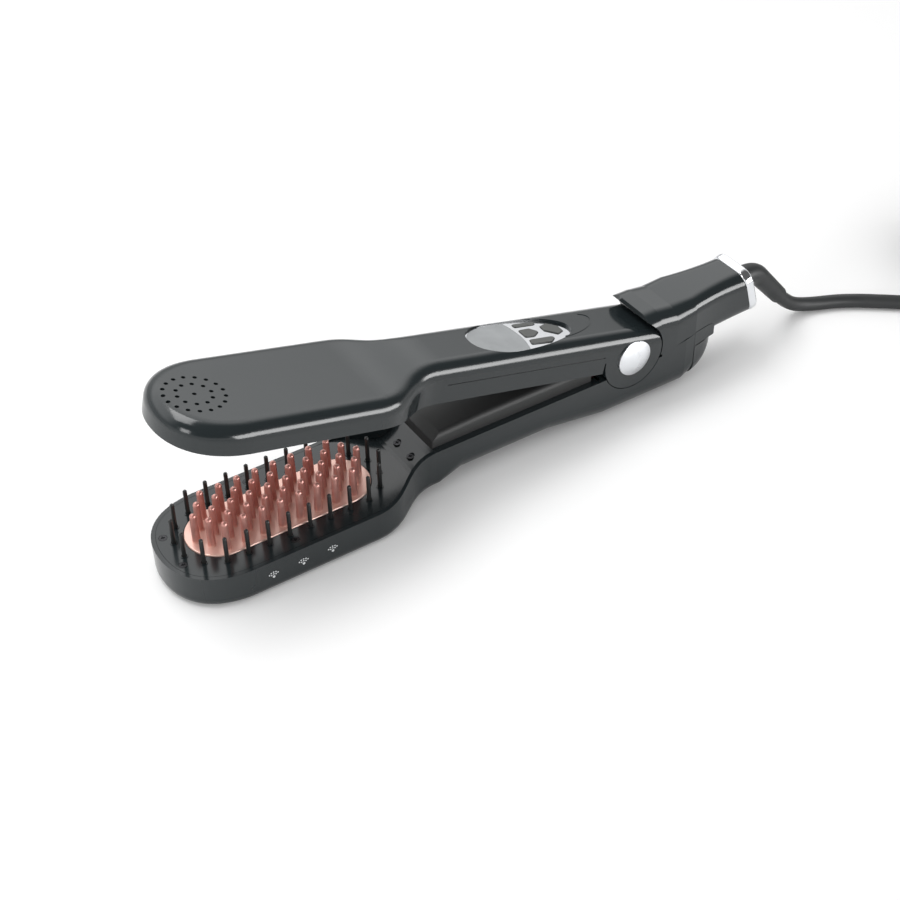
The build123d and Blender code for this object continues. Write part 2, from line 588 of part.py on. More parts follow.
with BuildPart() as tank_plug:
    extrude(disc(Plane.XY.offset(BAY_FLOOR + TANK_GAP + 0.1), 4.1, 24, 0), amount=TANK_WALL + 0.6)
save(tank_plug, "tank_plug")
with BuildPart() as tank_seal:
    extrude(disc(Plane.YZ.offset(tank_front - 1.0), 2.3, 0, bay_middle), amount=2.4)
    extrude(disc(Plane.YZ.offset(tank_front - 1.0), 1.1, 0, bay_middle), amount=2.4, mode=Mode.SUBTRACT)
save(tank_seal, "tank_seal")

# Hinge: pin, bushes, opening spring and the two chrome caps
axle = Plane(origin=(0, 0, PIVOT_HEIGHT), x_dir=(1, 0, 0), z_dir=(0, 1, 0))
PIN_END = GRIP_WIDTH / 2 - 0.8
with BuildPart() as hinge_pin:
    extrude(disc(axle, PIN_RADIUS), amount=PIN_END, both=True)
save(hinge_pin, "hinge_pin")
with BuildPart() as hinge_bushes:
    for side in (-1, 1):
        extrude(disc(hinge_side(side, cheek_inner), PIN_RADIUS + PIN_CLEARANCE + BUSH_WALL),
                amount=CHEEK_THICKNESS)
        extrude(disc(hinge_side(side, cheek_inner - 1.0), PIN_RADIUS + 3.0), amount=1.0)
    extrude(disc(axle, PIN_RADIUS + PIN_CLEARANCE), amount=20, both=True, mode=Mode.SUBTRACT)
save(hinge_bushes, "hinge_bushes")
CAP_FLANGE = 0.8
cap_ball = (CAP_RADIUS ** 2 + CAP_DOME ** 2) / (2 * CAP_DOME)
for side, name in ((-1, "hinge_cap_near"), (1, "hinge_cap_far")):
    with BuildPart() as cap:
        with Locations((0, side * (GRIP_WIDTH / 2 + CAP_FLANGE + CAP_DOME - cap_ball), PIVOT_HEIGHT)):
            Sphere(cap_ball)
        extrude(disc(hinge_side(side, GRIP_WIDTH / 2), CAP_RADIUS), amount=10, mode=Mode.INTERSECT)
        extrude(disc(hinge_side(side, GRIP_WIDTH / 2), CAP_RADIUS), amount=CAP_FLANGE)
        extrude(disc(hinge_side(side, PIN_END), PIN_RADIUS), amount=GRIP_WIDTH / 2 - PIN_END + 0.1)
    save(cap, name)

# Opening spring: a sleeve of wound wire on the pin, with one leg on the tank bay and one under the roof
SPRING_INNER = PIN_RADIUS + 0.3
SPRING_OUTER = SPRING_INNER + 2.0
SPRING_LENGTH = 10.0
LEG_RADIUS = 0.6
leg_x = SPRING_OUTER - LEG_RADIUS
bay_top = BAY_FLOOR + BAY_HEIGHT + WALL
with BuildPart() as opening_spring:
    extrude(disc(axle, SPRING_OUTER), amount=SPRING_LENGTH / 2, both=True)
    down_leg = disc(Plane.XY.offset(bay_top + 0.02), LEG_RADIUS, leg_x, 3.5)
    extrude(down_leg, amount=PIVOT_HEIGHT - bay_top)
    extrude(disc(Plane.XY.offset(PIVOT_HEIGHT), LEG_RADIUS, leg_x, -3.5), amount=7.5)
    extrude(disc(axle, SPRING_INNER), amount=SPRING_LENGTH, both=True, mode=Mode.SUBTRACT)
save(opening_spring, "opening_spring")

# Tail cover: the upper half of the tail, its front face following the turning ears
COVER_CIRCLE = EAR_RADIUS + 0.6
LIP_TOP = 47.0
lip_sections = [
    tube_section(Plane.YZ.offset(4), GRIP_WIDTH, 30.0, 8.0, LIP_TOP - 15.0),
    tube_section(Plane.YZ.offset(16), GRIP_WIDTH, 30.0, 8.0, LIP_TOP - 15.0),
]
dip_section = tube_section(Plane.YZ.offset(25), GRIP_WIDTH, 30.0, 8.0, 45.7 - 15.0)
lip_linings = [
    tube_section(Plane.YZ.offset(3), GRIP_WIDTH - lining, 30.0 - lining, 6.0, LIP_TOP - 15.0),
    tube_section(Plane.YZ.offset(16), GRIP_WIDTH - lining, 30.0 - lining, 6.0, LIP_TOP - 15.0),
]
dip_lining = tube_section(Plane.YZ.offset(25), GRIP_WIDTH - lining, 30.0 - lining, 6.0, 45.7 - 15.0)
with BuildPart() as cover_lining:
    loft(lip_linings)
    loft([lip_linings[1], dip_lining])
    loft([dip_lining, inner_sections[0]])
    extrude(disc(axle, COVER_CIRCLE + WALL), amount=40, both=True, mode=Mode.SUBTRACT)
with BuildPart() as tail_cover:
    loft(lip_sections)
    loft([lip_sections[1], dip_section])
    loft([dip_section, tail_sections[0]])
    add(tail_outside.part)
    above_seam = side_form(LOWER_SIDE, [(-10, 60), (90, 60)],
                           [(-10, SEAM_FRONT[1]), SEAM_FRONT, SEAM_REAR, (90, SEAM_REAR[1])])
    extrude(above_seam, amount=40, both=True, mode=Mode.INTERSECT)
    add(cover_lining.part, mode=Mode.SUBTRACT)
    add(tail_hollow.part, mode=Mode.SUBTRACT)
    for x, y in TAIL_SCREWS:
        extrude(disc(Plane.XY.offset(TAIL_BOSS_TOP + 0.1), BOSS_RADIUS, x, y), amount=11)
        with Locations((x, y, TAIL_BOSS_TOP)):
            Cylinder(SCREW_RADIUS + SCREW_GAP, 8, mode=Mode.SUBTRACT)
    extrude(disc(axle, COVER_CIRCLE), amount=40, both=True, mode=Mode.SUBTRACT)
    before_cover = side_form(LOWER_SIDE, [(-20, 60), (COVER_CUT, 60)], [(-20, 20), (COVER_CUT, 20)])
    extrude(before_cover, amount=40, both=True, mode=Mode.SUBTRACT)
save(tail_cover, "tail_cover")

# Chrome ring that closes the tail, with the hole for the cord guard
with BuildPart() as tail_ring:
    ring_form = tube_section(TAIL_END, TAIL_WIDTH + RING_PROUD, TAIL_HEIGHT + 2 * RING_PROUD, TAIL_EDGE)
    extrude(ring_form, amount=RING_THICKNESS)
    outer_rim = tail_ring.faces().sort_by(Axis.X)[-1].edges()
    fillet(outer_rim, 1.6)
    spigot = tube_section(TAIL_END, TAIL_WIDTH - lining - 0.4, TAIL_HEIGHT - lining - 0.6,
                          TAIL_EDGE - WALL - 0.2)
    extrude(spigot, amount=2.5, dir=(-1, 0, 0))
    extrude(disc(TAIL_END.offset(-4), GUARD_DIAMETER / 2 + 0.05), amount=20, mode=Mode.SUBTRACT)
save(tail_ring, "tail_ring")

# Cord guard: a tapered rubber sleeve bent down to the floor, with a collar inside the ring
guard_start = TAIL_END.offset(-8).origin
guard_bend = TAIL_END.offset(13.4).origin
guard_end = Vector(102.0, 0.0, 16.5)
with BuildPart() as cord_guard:
    with BuildLine() as guard_line:
        FilletPolyline(guard_start, guard_bend, guard_end, radius=11.0)
    with BuildSketch(TAIL_END.offset(-8)) as guard_root:
        Circle(GUARD_DIAMETER / 2)
    guard_out = guard_end - guard_bend
    with BuildSketch(Plane(origin=guard_end, x_dir=(0, 1, 0), z_dir=guard_out.normalized())) as guard_tip:
        Circle(GUARD_END_DIAMETER / 2)
    sweep([guard_root.sketch, guard_tip.sketch], path=guard_line.line, multisection=True)
    extrude(disc(TAIL_END.offset(-5), GUARD_DIAMETER / 2 + 2), amount=1.9)
save(cord_guard, "cord_guard")

# Clamp on the cord inside the tail, and the mains leads from it to the power board
CLAMP_FRONT = 50.0
clamp_base = tail_floor + WALL + 0.4
with BuildPart() as cord_clamp:
    extrude(box_form(Plane.XY.offset(clamp_base), CLAMP_FRONT + 4, 0, 8, 9, 1.0), amount=14)
save(cord_clamp, "cord_clamp")
LEAD_RADIUS = 0.9
lead_height = bay_top + 0.1 + LEAD_RADIUS
with BuildPart() as mains_leads:
    for side in (-1, 1):
        with BuildLine() as lead_line:
            FilletPolyline((-24.9, side * 6.5, lead_height), (14, side * 6.5, lead_height),
                           (31, side * 4, 33),
                           (CLAMP_FRONT - 0.05, side * 3, 34), radius=4.0)
        with BuildSketch(Plane(origin=lead_line.line @ 0, z_dir=lead_line.line % 0)):
            Circle(LEAD_RADIUS)
        sweep(path=lead_line.line)
save(mains_leads, "mains_leads")
with BuildPart() as heater_leads:
    for side in (-1, 1):
        with BuildLine() as heater_line:
            FilletPolyline((-144.4, side * 3.5, 5.5), (-131, side * 3.5, 5.5), (-119.5, side * 9.5, 10.5),
                           (-108, side * 9.5, 13), (-97.5, side * 5, 18.7), (-92, side * 5, 18.7),
                           radius=2.5)
        with BuildSketch(Plane(origin=heater_line.line @ 0, z_dir=heater_line.line % 0)):
            Circle(LEAD_RADIUS)
        sweep(path=heater_line.line)
save(heater_leads, "heater_leads")


CROSS_LENGTH = 1.9
CROSS_WIDTH = 0.5
CROSS_DEPTH = 0.5


def screw(seat, x, y, length, turn=1):
    """A pan-head screw with a cross recess; turn is -1 where the head lies below its seat."""
    extrude(disc(seat, SCREW_HEAD_RADIUS, x, y), amount=turn * SCREW_HEAD_HEIGHT)
    extrude(disc(seat, SCREW_RADIUS, x, y), amount=-turn * length)
    head = seat.offset(turn * SCREW_HEAD_HEIGHT)
    for along, across in ((CROSS_LENGTH, CROSS_WIDTH), (CROSS_WIDTH, CROSS_LENGTH)):
        extrude(box_form(head, x, y, along, across), amount=-turn * CROSS_DEPTH, mode=Mode.SUBTRACT)


with BuildPart() as lower_screws:
    for x, y in HEAD_SCREWS:
        screw(Plane.XY.offset(FACE_HEIGHT - SCREW_HEAD_HEIGHT + 0.02), x, y, SCREW_LENGTH)
    for x, y in NECK_SCREWS:
        screw(Plane.XY.offset(NECK_SEAT + 0.02), x, y, SCREW_LENGTH)
save(lower_screws, "lower_screws")
with BuildPart() as tail_screws:
    for x, y in TAIL_SCREWS:
        screw(Plane.XY.offset(tail_seat - 0.02), x, y, TAIL_BOSS_TOP - tail_seat + 3, -1)
save(tail_screws, "tail_screws")

# Upper shell: a crowned moulded cover from the tip to the hinge ears
RISE_END = -105.0


def arm_side(inset, bottom, rear_radius):
    """Side view of the upper arm above bottom; its rear end follows a circle about the hinge."""
    head_top = HEAD_TOP - inset
    grip_top = GRIP_TOP - inset
    rear_top = Vector(sqrt(rear_radius ** 2 - grip_top ** 2), grip_top)
    rear_foot = Vector(sqrt(rear_radius ** 2 - bottom ** 2), bottom)
    rear_middle = (rear_top + rear_foot).normalized() * rear_radius
    front = -TIP_REACH - 5
    middle = (RISE_END - NECK_FRONT) / 2
    with BuildSketch(UPPER_SIDE) as form:
        with BuildLine():
            head = Polyline((rear_foot.X, bottom), (front, bottom),
                            (front, head_top), (-NECK_FRONT, head_top))
            rise = Bezier(head @ 1, (middle, head_top), (middle, grip_top), (RISE_END, grip_top))
            Line(rise @ 1, rear_top)
            ThreePointArc(rear_top, rear_middle, rear_foot)
        make_face()
    return form.sketch


def crowned_arm(inset, bottom):
    """The upper arm's outside, or its hollow where inset is the wall, with pillow edges."""
    with BuildPart() as form:
        extrude(arm_side(inset, bottom, EAR_RADIUS - inset), amount=40, both=True)
        extrude(plan_form(UPPER.offset(bottom - 1), inset, 30.0), amount=40, mode=Mode.INTERSECT)
        rim = form.edges().filter_by(lambda e: abs(e.center().Y) > 3)
        rim = rim.filter_by(lambda e: UPPER.to_local_coords(e.center()).Z > HEAD_TOP - inset - 0.3)
        fillet(rim, PILLOW - inset)
    return form.part


OVAL_FRONT = -84.0
OVAL_REAR = -29.5
OVAL_HALF = 12.0
OVAL_WIDEST = -66.0
RECESS_DEPTH = 2.4
BEZEL_THICKNESS = 1.2
LEDGE = 0.9
seat_height = GRIP_TOP - RECESS_DEPTH


def oval(plane, inset):
    """The oval field of the display and keys, drawn in by inset."""
    front = OVAL_FRONT + inset
    rear = OVAL_REAR - inset
    half = OVAL_HALF - inset
    with BuildSketch(plane) as form:
        with BuildLine():
            Bezier((front, 0), (front, 0.63 * half),
                   (front + 0.39 * (OVAL_WIDEST - front), half), (OVAL_WIDEST, half))
            Bezier((OVAL_WIDEST, half), (OVAL_WIDEST + 0.55 * (rear - OVAL_WIDEST), half),
                   (rear, 0.66 * half), (rear, 0))
            mirror(about=Plane.XZ)
        make_face()
    return form.sketch


GROOVE_FRONT = -103.0
GROOVE_REAR = -17.5
GROOVE_HEIGHT = 2.4
GROOVE_DEPTH = 0.4
GROOVE_WIDTH = 0.5
BEAD_HEIGHT = 0.22
VENT_CENTRE = -212.6
INNER_RING = 7.2
OUTER_RING = 12.2
VENT_RADIUS = 0.9
ROOF_TOP = 2.6
POCKET_ROOF = 1.6
TROUGH_ROOF = 1.2
UNDER_ROOF_GAP = 0.1
# Each upper screw has its x, y, the seat of its head, the top of its boss and its length
UPPER_SCREWS = [
    (-209.0, -16.0, POCKET_ROOF, HEAD_TOP - 1, 4.0),
    (-209.0, 16.0, POCKET_ROOF, HEAD_TOP - 1, 4.0),
    (-140.0, -14.0, POCKET_ROOF, HEAD_TOP - 1, 4.0),
    (-140.0, 14.0, POCKET_ROOF, HEAD_TOP - 1, 4.0),
    (-116.0, -8.0, -5.0, HEAD_TOP + 2, 12.0),
    (-116.0, 8.0, -5.0, HEAD_TOP + 2, 12.0),
]
arm_outside = crowned_arm(0.0, SEAM)
arm_hollow = crowned_arm(WALL, SEAM - 1)
with BuildPart() as ears_above:
    for side in (-1, 1):
        extrude(disc(hinge_side(side, ear_inner), EAR_RADIUS), amount=EAR_THICKNESS)
    add(arm_outside, mode=Mode.INTERSECT)
with BuildPart() as ears_below:
    for side in (-1, 1):
        extrude(disc(hinge_side(side, ear_inner), EAR_RADIUS), amount=EAR_THICKNESS)
    extrude(box_form(UPPER.offset(SEAM), 0, 0, 60, 60), amount=-30, mode=Mode.INTERSECT)
with BuildPart() as seat_ring:
    extrude(oval(UPPER.offset(seat_height - 1.2), -LEDGE - 0.6), amount=2.5)
    add(arm_outside, mode=Mode.INTERSECT)
with BuildPart() as upper_shell:
    add(arm_outside)
    add(arm_hollow, mode=Mode.SUBTRACT)
    add(ears_above.part)
    add(ears_below.part)
    add(seat_ring.part)
    for x, y, seat, boss_top, length in UPPER_SCREWS:
        extrude(disc(UPPER.offset(ROOF_TOP + UNDER_ROOF_GAP), BOSS_RADIUS, x, y),
                amount=boss_top - ROOF_TOP - 0.1)
    for x, y, seat, boss_top, length in UPPER_SCREWS:
        extrude(disc(UPPER.offset(seat), SCREW_RADIUS + SCREW_GAP, x, y), amount=length, mode=Mode.SUBTRACT)
    extrude(oval(UPPER.offset(seat_height), 0), amount=10, mode=Mode.SUBTRACT)
    extrude(oval(UPPER.offset(seat_height - 2), LEDGE), amount=10, mode=Mode.SUBTRACT)
    with BuildSketch(UPPER.offset(HEAD_TOP - WALL - 1)) as vents:
        with Locations((VENT_CENTRE, 0)):
            Circle(VENT_RADIUS)
            with PolarLocations(INNER_RING, 10):
                Circle(VENT_RADIUS)
            with PolarLocations(OUTER_RING, 17):
                Circle(VENT_RADIUS)
    extrude(vents.sketch, amount=10, mode=Mode.SUBTRACT)
    # A fine groove along each side of the grip, and a raised bead that echoes the oval
    for side in (-1, 1):
        groove_floor = UPPER_SIDE.offset(side * (GRIP_WIDTH / 2 - GROOVE_DEPTH))
        groove = box_form(groove_floor, (GROOVE_FRONT + GROOVE_REAR) / 2, GROOVE_HEIGHT,
                          GROOVE_REAR - GROOVE_FRONT, GROOVE_WIDTH)
        extrude(groove, amount=side * 5, mode=Mode.SUBTRACT)
    with BuildSketch(UPPER.offset(GRIP_TOP - 0.3)) as bead:
        with BuildLine():
            Bezier((-37, -7.6), (-20, -5.6), (-8.5, 4.5), (-18.5, 8.2))
        trace(line_width=0.6)
    extrude(bead.sketch, amount=0.3 + BEAD_HEIGHT)
    extrude(disc(axle, PIN_RADIUS + 0.02), amount=20, both=True, mode=Mode.SUBTRACT)
save(upper_shell, "upper_shell")

# Inner cover of the upper arm: a pocket over the comb, a trough over the board housing
GRIP_UNDERSIDE = RIM_HEIGHT - PIVOT_HEIGHT + CLOSED_GAP
INNER_REAR = -EAR_RADIUS - 0.6
POCKET_RIM = 4.0
POCKET_REAR = -122.0
TROUGH_FRONT = -110.0
BOARD_POSTS = [(-85.0, -7.0), (-85.0, 7.0), (-31.0, -7.0), (-31.0, 7.0)]
CONTROL_BOARD_HEIGHT = 3.6
under_line = [(-240, HEAD_UNDERSIDE), (-NECK_FRONT, HEAD_UNDERSIDE)]
under_line += neck_curve((-NECK_FRONT, HEAD_UNDERSIDE), (-NECK_BACK, GRIP_UNDERSIDE))[1:]
under_line += [(INNER_REAR, GRIP_UNDERSIDE)]
trough_middle = (TROUGH_FRONT - 10) / 2
with BuildPart() as upper_inner_cover:
    extrude(plan_form(UPPER.offset(-12), 0, INNER_REAR), amount=12 + SEAM)
    below_shell = side_form(UPPER_SIDE, [(-240, SEAM), (INNER_REAR, SEAM)], under_line)
    extrude(below_shell, amount=40, both=True, mode=Mode.INTERSECT)
    extrude(plan_form(UPPER.offset(SEAM), WALL + 0.5, INNER_REAR), amount=ROOF_TOP - SEAM)
    extrude(plan_form(UPPER.offset(-12), POCKET_RIM, POCKET_REAR),
            amount=12 + POCKET_ROOF, mode=Mode.SUBTRACT)
    trough = box_form(UPPER.offset(-12), trough_middle, 0, -TROUGH_FRONT - 10, BLOCK_WIDTH + 1.2)
    extrude(trough, amount=12 + TROUGH_ROOF, mode=Mode.SUBTRACT)
    for x, y in BOARD_POSTS:
        extrude(disc(UPPER.offset(ROOF_TOP), 1.5, x, y), amount=CONTROL_BOARD_HEIGHT - ROOF_TOP)
    for x, y, seat, boss_top, length in UPPER_SCREWS:
        extrude(disc(UPPER.offset(-12), SCREW_RADIUS + FIT, x, y), amount=20, mode=Mode.SUBTRACT)
        extrude(disc(UPPER.offset(-12), SCREW_HEAD_RADIUS + FIT, x, y), amount=12 + seat, mode=Mode.SUBTRACT)
save(upper_inner_cover, "upper_inner_cover")
with BuildPart() as upper_screws:
    for x, y, seat, boss_top, length in UPPER_SCREWS:
        screw(UPPER.offset(seat - 0.02), x, y, length - 0.1, -1)
save(upper_screws, "upper_screws")

# Display, bezel and keys
WINDOW_CENTRE = -86.0
WINDOW_RADIUS = 29.5
BEZEL_RIM = 0.7
KEY_GAP = 0.25
KEY_LIP = 0.45
KEY_FLOOR = seat_height - 1.0
KEY_TOP = GRIP_TOP - 0.7
KEY_TRAVEL = 0.5
SWITCH_TOP = 7.3
KEYS = {
    "key_far": [(-54.5, 6.6), (-55.3, 9.0), (-44.0, 8.4), (-42.4, 6.6)],
    "key_near": [(-54.5, -4.5), (-55.8, -8.0), (-45.0, -8.6), (-41.0, -5.4), (-43.0, -4.5)],
    "key_centre": [(-54.8, 3.8), (-54.8, -2.0), (-50.0, -2.3), (-45.9, 0.6), (-49.0, 4.0)],
    "key_nose": [(-42.5, 4.4), (-38.2, 6.0), (-33.8, 2.6), (-33.8, -1.6), (-37.5, -3.4), (-42.6, 0.8)],
}
SWITCH_PLACES = {
    "key_far": (-48.5, 7.8),
    "key_near": (-49.5, -6.5),
    "key_centre": (-51.5, 0.9),
    "key_nose": (-38.2, 1.4),
}


def key_form(plane, corners, grow=0.0):
    """A key's outline with rounded corners, grown all round."""
    with BuildSketch(plane) as form:
        with BuildLine():
            Polyline(*corners, close=True)
        make_face()
        fillet(form.vertices(), 0.9)
        if grow:
            offset(amount=grow)
    return form.sketch


with BuildPart() as display_window:
    extrude(oval(UPPER.offset(seat_height), FIT + BEZEL_RIM), amount=BEZEL_THICKNESS)
    extrude(disc(UPPER.offset(seat_height), WINDOW_RADIUS, WINDOW_CENTRE), amount=5, mode=Mode.INTERSECT)
save(display_window, "display_window")
with BuildPart() as window_hole:
    extrude(oval(UPPER.offset(seat_height - 1), FIT + BEZEL_RIM - 0.05), amount=5)
    extrude(disc(UPPER.offset(seat_height - 1), WINDOW_RADIUS + 0.05, WINDOW_CENTRE),
            amount=5, mode=Mode.INTERSECT)
with BuildPart() as keypad_bezel:
    extrude(oval(UPPER.offset(seat_height), FIT), amount=BEZEL_THICKNESS)
    add(window_hole.part, mode=Mode.SUBTRACT)
    for corners in KEYS.values():
        extrude(key_form(UPPER.offset(seat_height), corners, KEY_GAP), amount=5, mode=Mode.SUBTRACT)
save(keypad_bezel, "keypad_bezel")
for name, corners in KEYS.items():
    with BuildPart() as key:
        extrude(key_form(UPPER.offset(KEY_FLOOR), corners), amount=KEY_TOP - KEY_FLOOR)
        fillet(key.faces().sort_by(Axis(PIVOT, UPPER.z_dir))[-1].edges(), 0.3)
        extrude(key_form(UPPER.offset(KEY_FLOOR), corners, KEY_LIP), amount=seat_height - 0.1 - KEY_FLOOR)
        stem_floor = SWITCH_TOP + KEY_TRAVEL + 0.05
        extrude(disc(UPPER.offset(stem_floor), 1.1, *SWITCH_PLACES[name]),
                amount=KEY_FLOOR - stem_floor + 0.2)
    save(key, name)
with BuildPart() as control_board:
    extrude(box_form(UPPER.offset(CONTROL_BOARD_HEIGHT), -58, 0, 60, 22, 1.0), amount=BOARD_THICKNESS)
save(control_board, "control_board")
control_top = CONTROL_BOARD_HEIGHT + BOARD_THICKNESS
with BuildPart() as display_module:
    extrude(box_form(UPPER.offset(control_top), -69, 0, 16, 15, 0.8), amount=seat_height - 0.1 - control_top)
save(display_module, "display_module")
with BuildPart() as key_switches:
    for x, y in SWITCH_PLACES.values():
        extrude(box_form(UPPER.offset(control_top), x, y, 4.4, 4.4, 0.4), amount=1.6)
        extrude(disc(UPPER.offset(control_top), 1.0, x, y), amount=SWITCH_TOP - control_top)
save(key_switches, "key_switches")
with BuildPart() as hinge_leads:
    extrude(box_form(UPPER.offset(CONTROL_BOARD_HEIGHT + 0.3), -18.2, 0, 19.5, 8), amount=0.6)
save(hinge_leads, "hinge_leads")

# Power cord: from the guard down to the floor and away, then a coil tied for storage, then the plug
COIL_MOUTH = (223.5, -56.7)
cord_radius = CORD_DIAMETER / 2
coil_floor = cord_radius + TIE_THICKNESS + 0.1
heading = Vector(1, 0, 0)
coil_mouth = Vector(*COIL_MOUTH, coil_floor)
CORD_POINTS = [
    guard_end,
    guard_end + guard_out.normalized() * 11.0,
    Vector(121.5, -1.0, cord_radius),
    Vector(139.0, -8.2, cord_radius),
    Vector(157.0, -21.6, cord_radius),
    Vector(174.5, -36.4, cord_radius),
    Vector(189.5, -49.9, cord_radius + 0.5),
    Vector(207.0, COIL_MOUTH[1], coil_floor),
    coil_mouth,
]


def cord_tube(name, points):
    """A tube along straight runs and the largest arcs they allow; prints its radii and length."""
    radii = []
    for before, here, after in zip(points, points[1:], points[2:]):
        half_turn = radians((here - before).get_angle(after - here)) / 2
        shorter = min((here - before).length, (after - here).length)
        radii.append(0.45 * shorter * cos(half_turn) / sin(half_turn))
    with BuildPart() as tube:
        with BuildLine() as line:
            FilletPolyline(*points, radius=radii)
        with BuildSketch(Plane(origin=line.line @ 0, z_dir=line.line % 0)):
            Circle(cord_radius)
        sweep(path=line.line)
    save(tube, name)
    runs = [round((b - a).length, 1) for a, b in zip(points, points[1:])]
    length = line.wires()[0].length
    ratio = tube.part.volume / (length * pi * cord_radius ** 2)
    print(name, "runs", runs, "radii", [round(r, 1) for r in radii])
    print(name, "length", round(length, 1), "volume over section times length", round(ratio, 4))


cord_tube("power_cord", CORD_POINTS)

# Coil: spirals in and out in four layers, climbs in the half turn where it reverses, and ends on top
COIL_TURNS = COIL_LAYERS * LAYER_TURNS + 0.5
coil_start = coil_mouth + heading * CORD_DIAMETER
outer_radius = COIL_MEAN_RADIUS + COIL_PITCH * LAYER_TURNS / 2
coil_centre = coil_start + Vector(0, outer_radius, 0)


def coil_point(turns):
    """A point on the coil's middle line after some turns, anticlockwise from above."""
    layer = int(turns / LAYER_TURNS)
    into_layer = turns - layer * LAYER_TURNS
    inward = into_layer if layer % 2 == 0 else LAYER_TURNS - into_layer
    radius = outer_radius - COIL_PITCH * inward
    lift = 0
    for k in range(1, COIL_LAYERS + 1):
        climb = min(max((turns - k * LAYER_TURNS) / 0.5 + 0.5, 0.0), 1.0)
        lift += COIL_PITCH * climb * climb * (3 - 2 * climb)
    angle = 2 * pi * turns - pi / 2
    return coil_centre + Vector(radius * cos(angle), radius * sin(angle), lift)


coil_nodes = [coil_point(i / 4) for i in range(int(4 * COIL_TURNS) + 1)]
coil_tangents = [heading]
for i in range(1, int(4 * COIL_TURNS)):
    coil_tangents.append((coil_point(i / 4 + 0.01) - coil_point(i / 4 - 0.01)).normalized())
coil_tangents.append(-heading)
with BuildPart() as cord_coil:
    with BuildLine() as coil_line:
        Line(coil_mouth, coil_start)
        for start, end, out, back in zip(coil_nodes, coil_nodes[1:], coil_tangents, coil_tangents[1:]):
            step = end - start
            both_ways = step.dot(out + back)
            spread = 2 * (1 - out.dot(back))
            reach = (sqrt(both_ways ** 2 + spread * step.dot(step)) - both_ways) / spread
            joint = (start + end + (out - back) * reach) * 0.5
            TangentArc(start, joint, tangent=out)
            TangentArc(joint, end, tangent=end - back * reach - start - out * reach)
        Line(coil_nodes[-1], coil_nodes[-1] - heading * CORD_DIAMETER)
    with BuildSketch(Plane(origin=coil_mouth, z_dir=heading)):
        Circle(cord_radius)
    sweep(path=coil_line.line)
save(cord_coil, "cord_coil")
SAMPLES = 720
coil_wire = coil_line.wires()[0]
coil_length = coil_wire.length
samples = [coil_wire.position_at(i / SAMPLES) for i in range(SAMPLES + 1)]
skip = int(6 * CORD_DIAMETER / (coil_length / SAMPLES))
gap = min((samples[i] - samples[j]).length for i in range(SAMPLES + 1) for j in range(i + skip, SAMPLES + 1))
print("coil length", round(coil_length, 1), "least gap", round(gap - CORD_DIAMETER, 2))

# Tie round the coil
TIE_WIDTH = 8.0
TIE_PLAY = 0.45
TIE_ANGLE = radians(97.0)
tie_out = Vector(cos(TIE_ANGLE), sin(TIE_ANGLE), 0)
innermost = outer_radius - COIL_PITCH * LAYER_TURNS - cord_radius - TIE_PLAY
outermost = outer_radius + cord_radius + TIE_PLAY
tie_height = CORD_DIAMETER + COIL_PITCH * COIL_LAYERS + 0.3
tie_middle = coil_centre + tie_out * ((innermost + outermost) / 2)
tie_origin = Vector(tie_middle.X, tie_middle.Y, TIE_THICKNESS + tie_height / 2)
tie_plane = Plane(origin=tie_origin, x_dir=tie_out, z_dir=Vector(-tie_out.Y, tie_out.X, 0))
tie_depth = outermost - innermost
with BuildPart() as cord_tie:
    outline = tube_section(tie_plane, tie_depth + 2 * TIE_THICKNESS, tie_height + 2 * TIE_THICKNESS, 2.0)
    extrude(outline, amount=TIE_WIDTH / 2, both=True)
    extrude(tube_section(tie_plane, tie_depth, tie_height, 1.1),
            amount=TIE_WIDTH, both=True, mode=Mode.SUBTRACT)
save(cord_tie, "cord_tie")

# Plug lead, and a plain two-pin plug lying on the coil
PLUG_HEIGHT = 14.0
PLUG_WIDTH = 26.0
PLUG_LENGTH = 34.0
RELIEF_LENGTH = 12.0
PLUG_PIN_RADIUS = 2.0
PLUG_PIN_PITCH = 19.0
PLUG_PIN_LENGTH = 19.0


def over_coil(x, y, rise):
    """A point over the coil, from its centre and from the height at which its end lies."""
    return Vector(coil_centre.X + x, coil_centre.Y + y, coil_nodes[-1].Z + rise)


lead_start = coil_nodes[-1] - heading * CORD_DIAMETER
plug_way = heading
PLUG_RISE = 10.6
PLUG_LEAD_POINTS = [
    lead_start,
    lead_start - heading * 9.0,
    over_coil(-28.9, 31.5, 0.3),
    over_coil(-38.8, 21.6, 1.3),
    over_coil(-44.2, 8.7, 2.9),
    over_coil(-44.2, -5.3, 4.9),
    over_coil(-38.8, -18.2, 7.1),
    over_coil(-28.9, -28.1, 9.3),
    over_coil(-16.0, -33.5, PLUG_RISE),
    over_coil(-4.0, -33.5, PLUG_RISE),
]
cord_tube("plug_lead", PLUG_LEAD_POINTS)
plug_root = PLUG_LEAD_POINTS[-1]


def plug_plane(distance):
    """A plane across the plug, some distance from the end of its cord."""
    return Plane(origin=plug_root + plug_way * distance, x_dir=(-plug_way.Y, plug_way.X, 0), z_dir=plug_way)


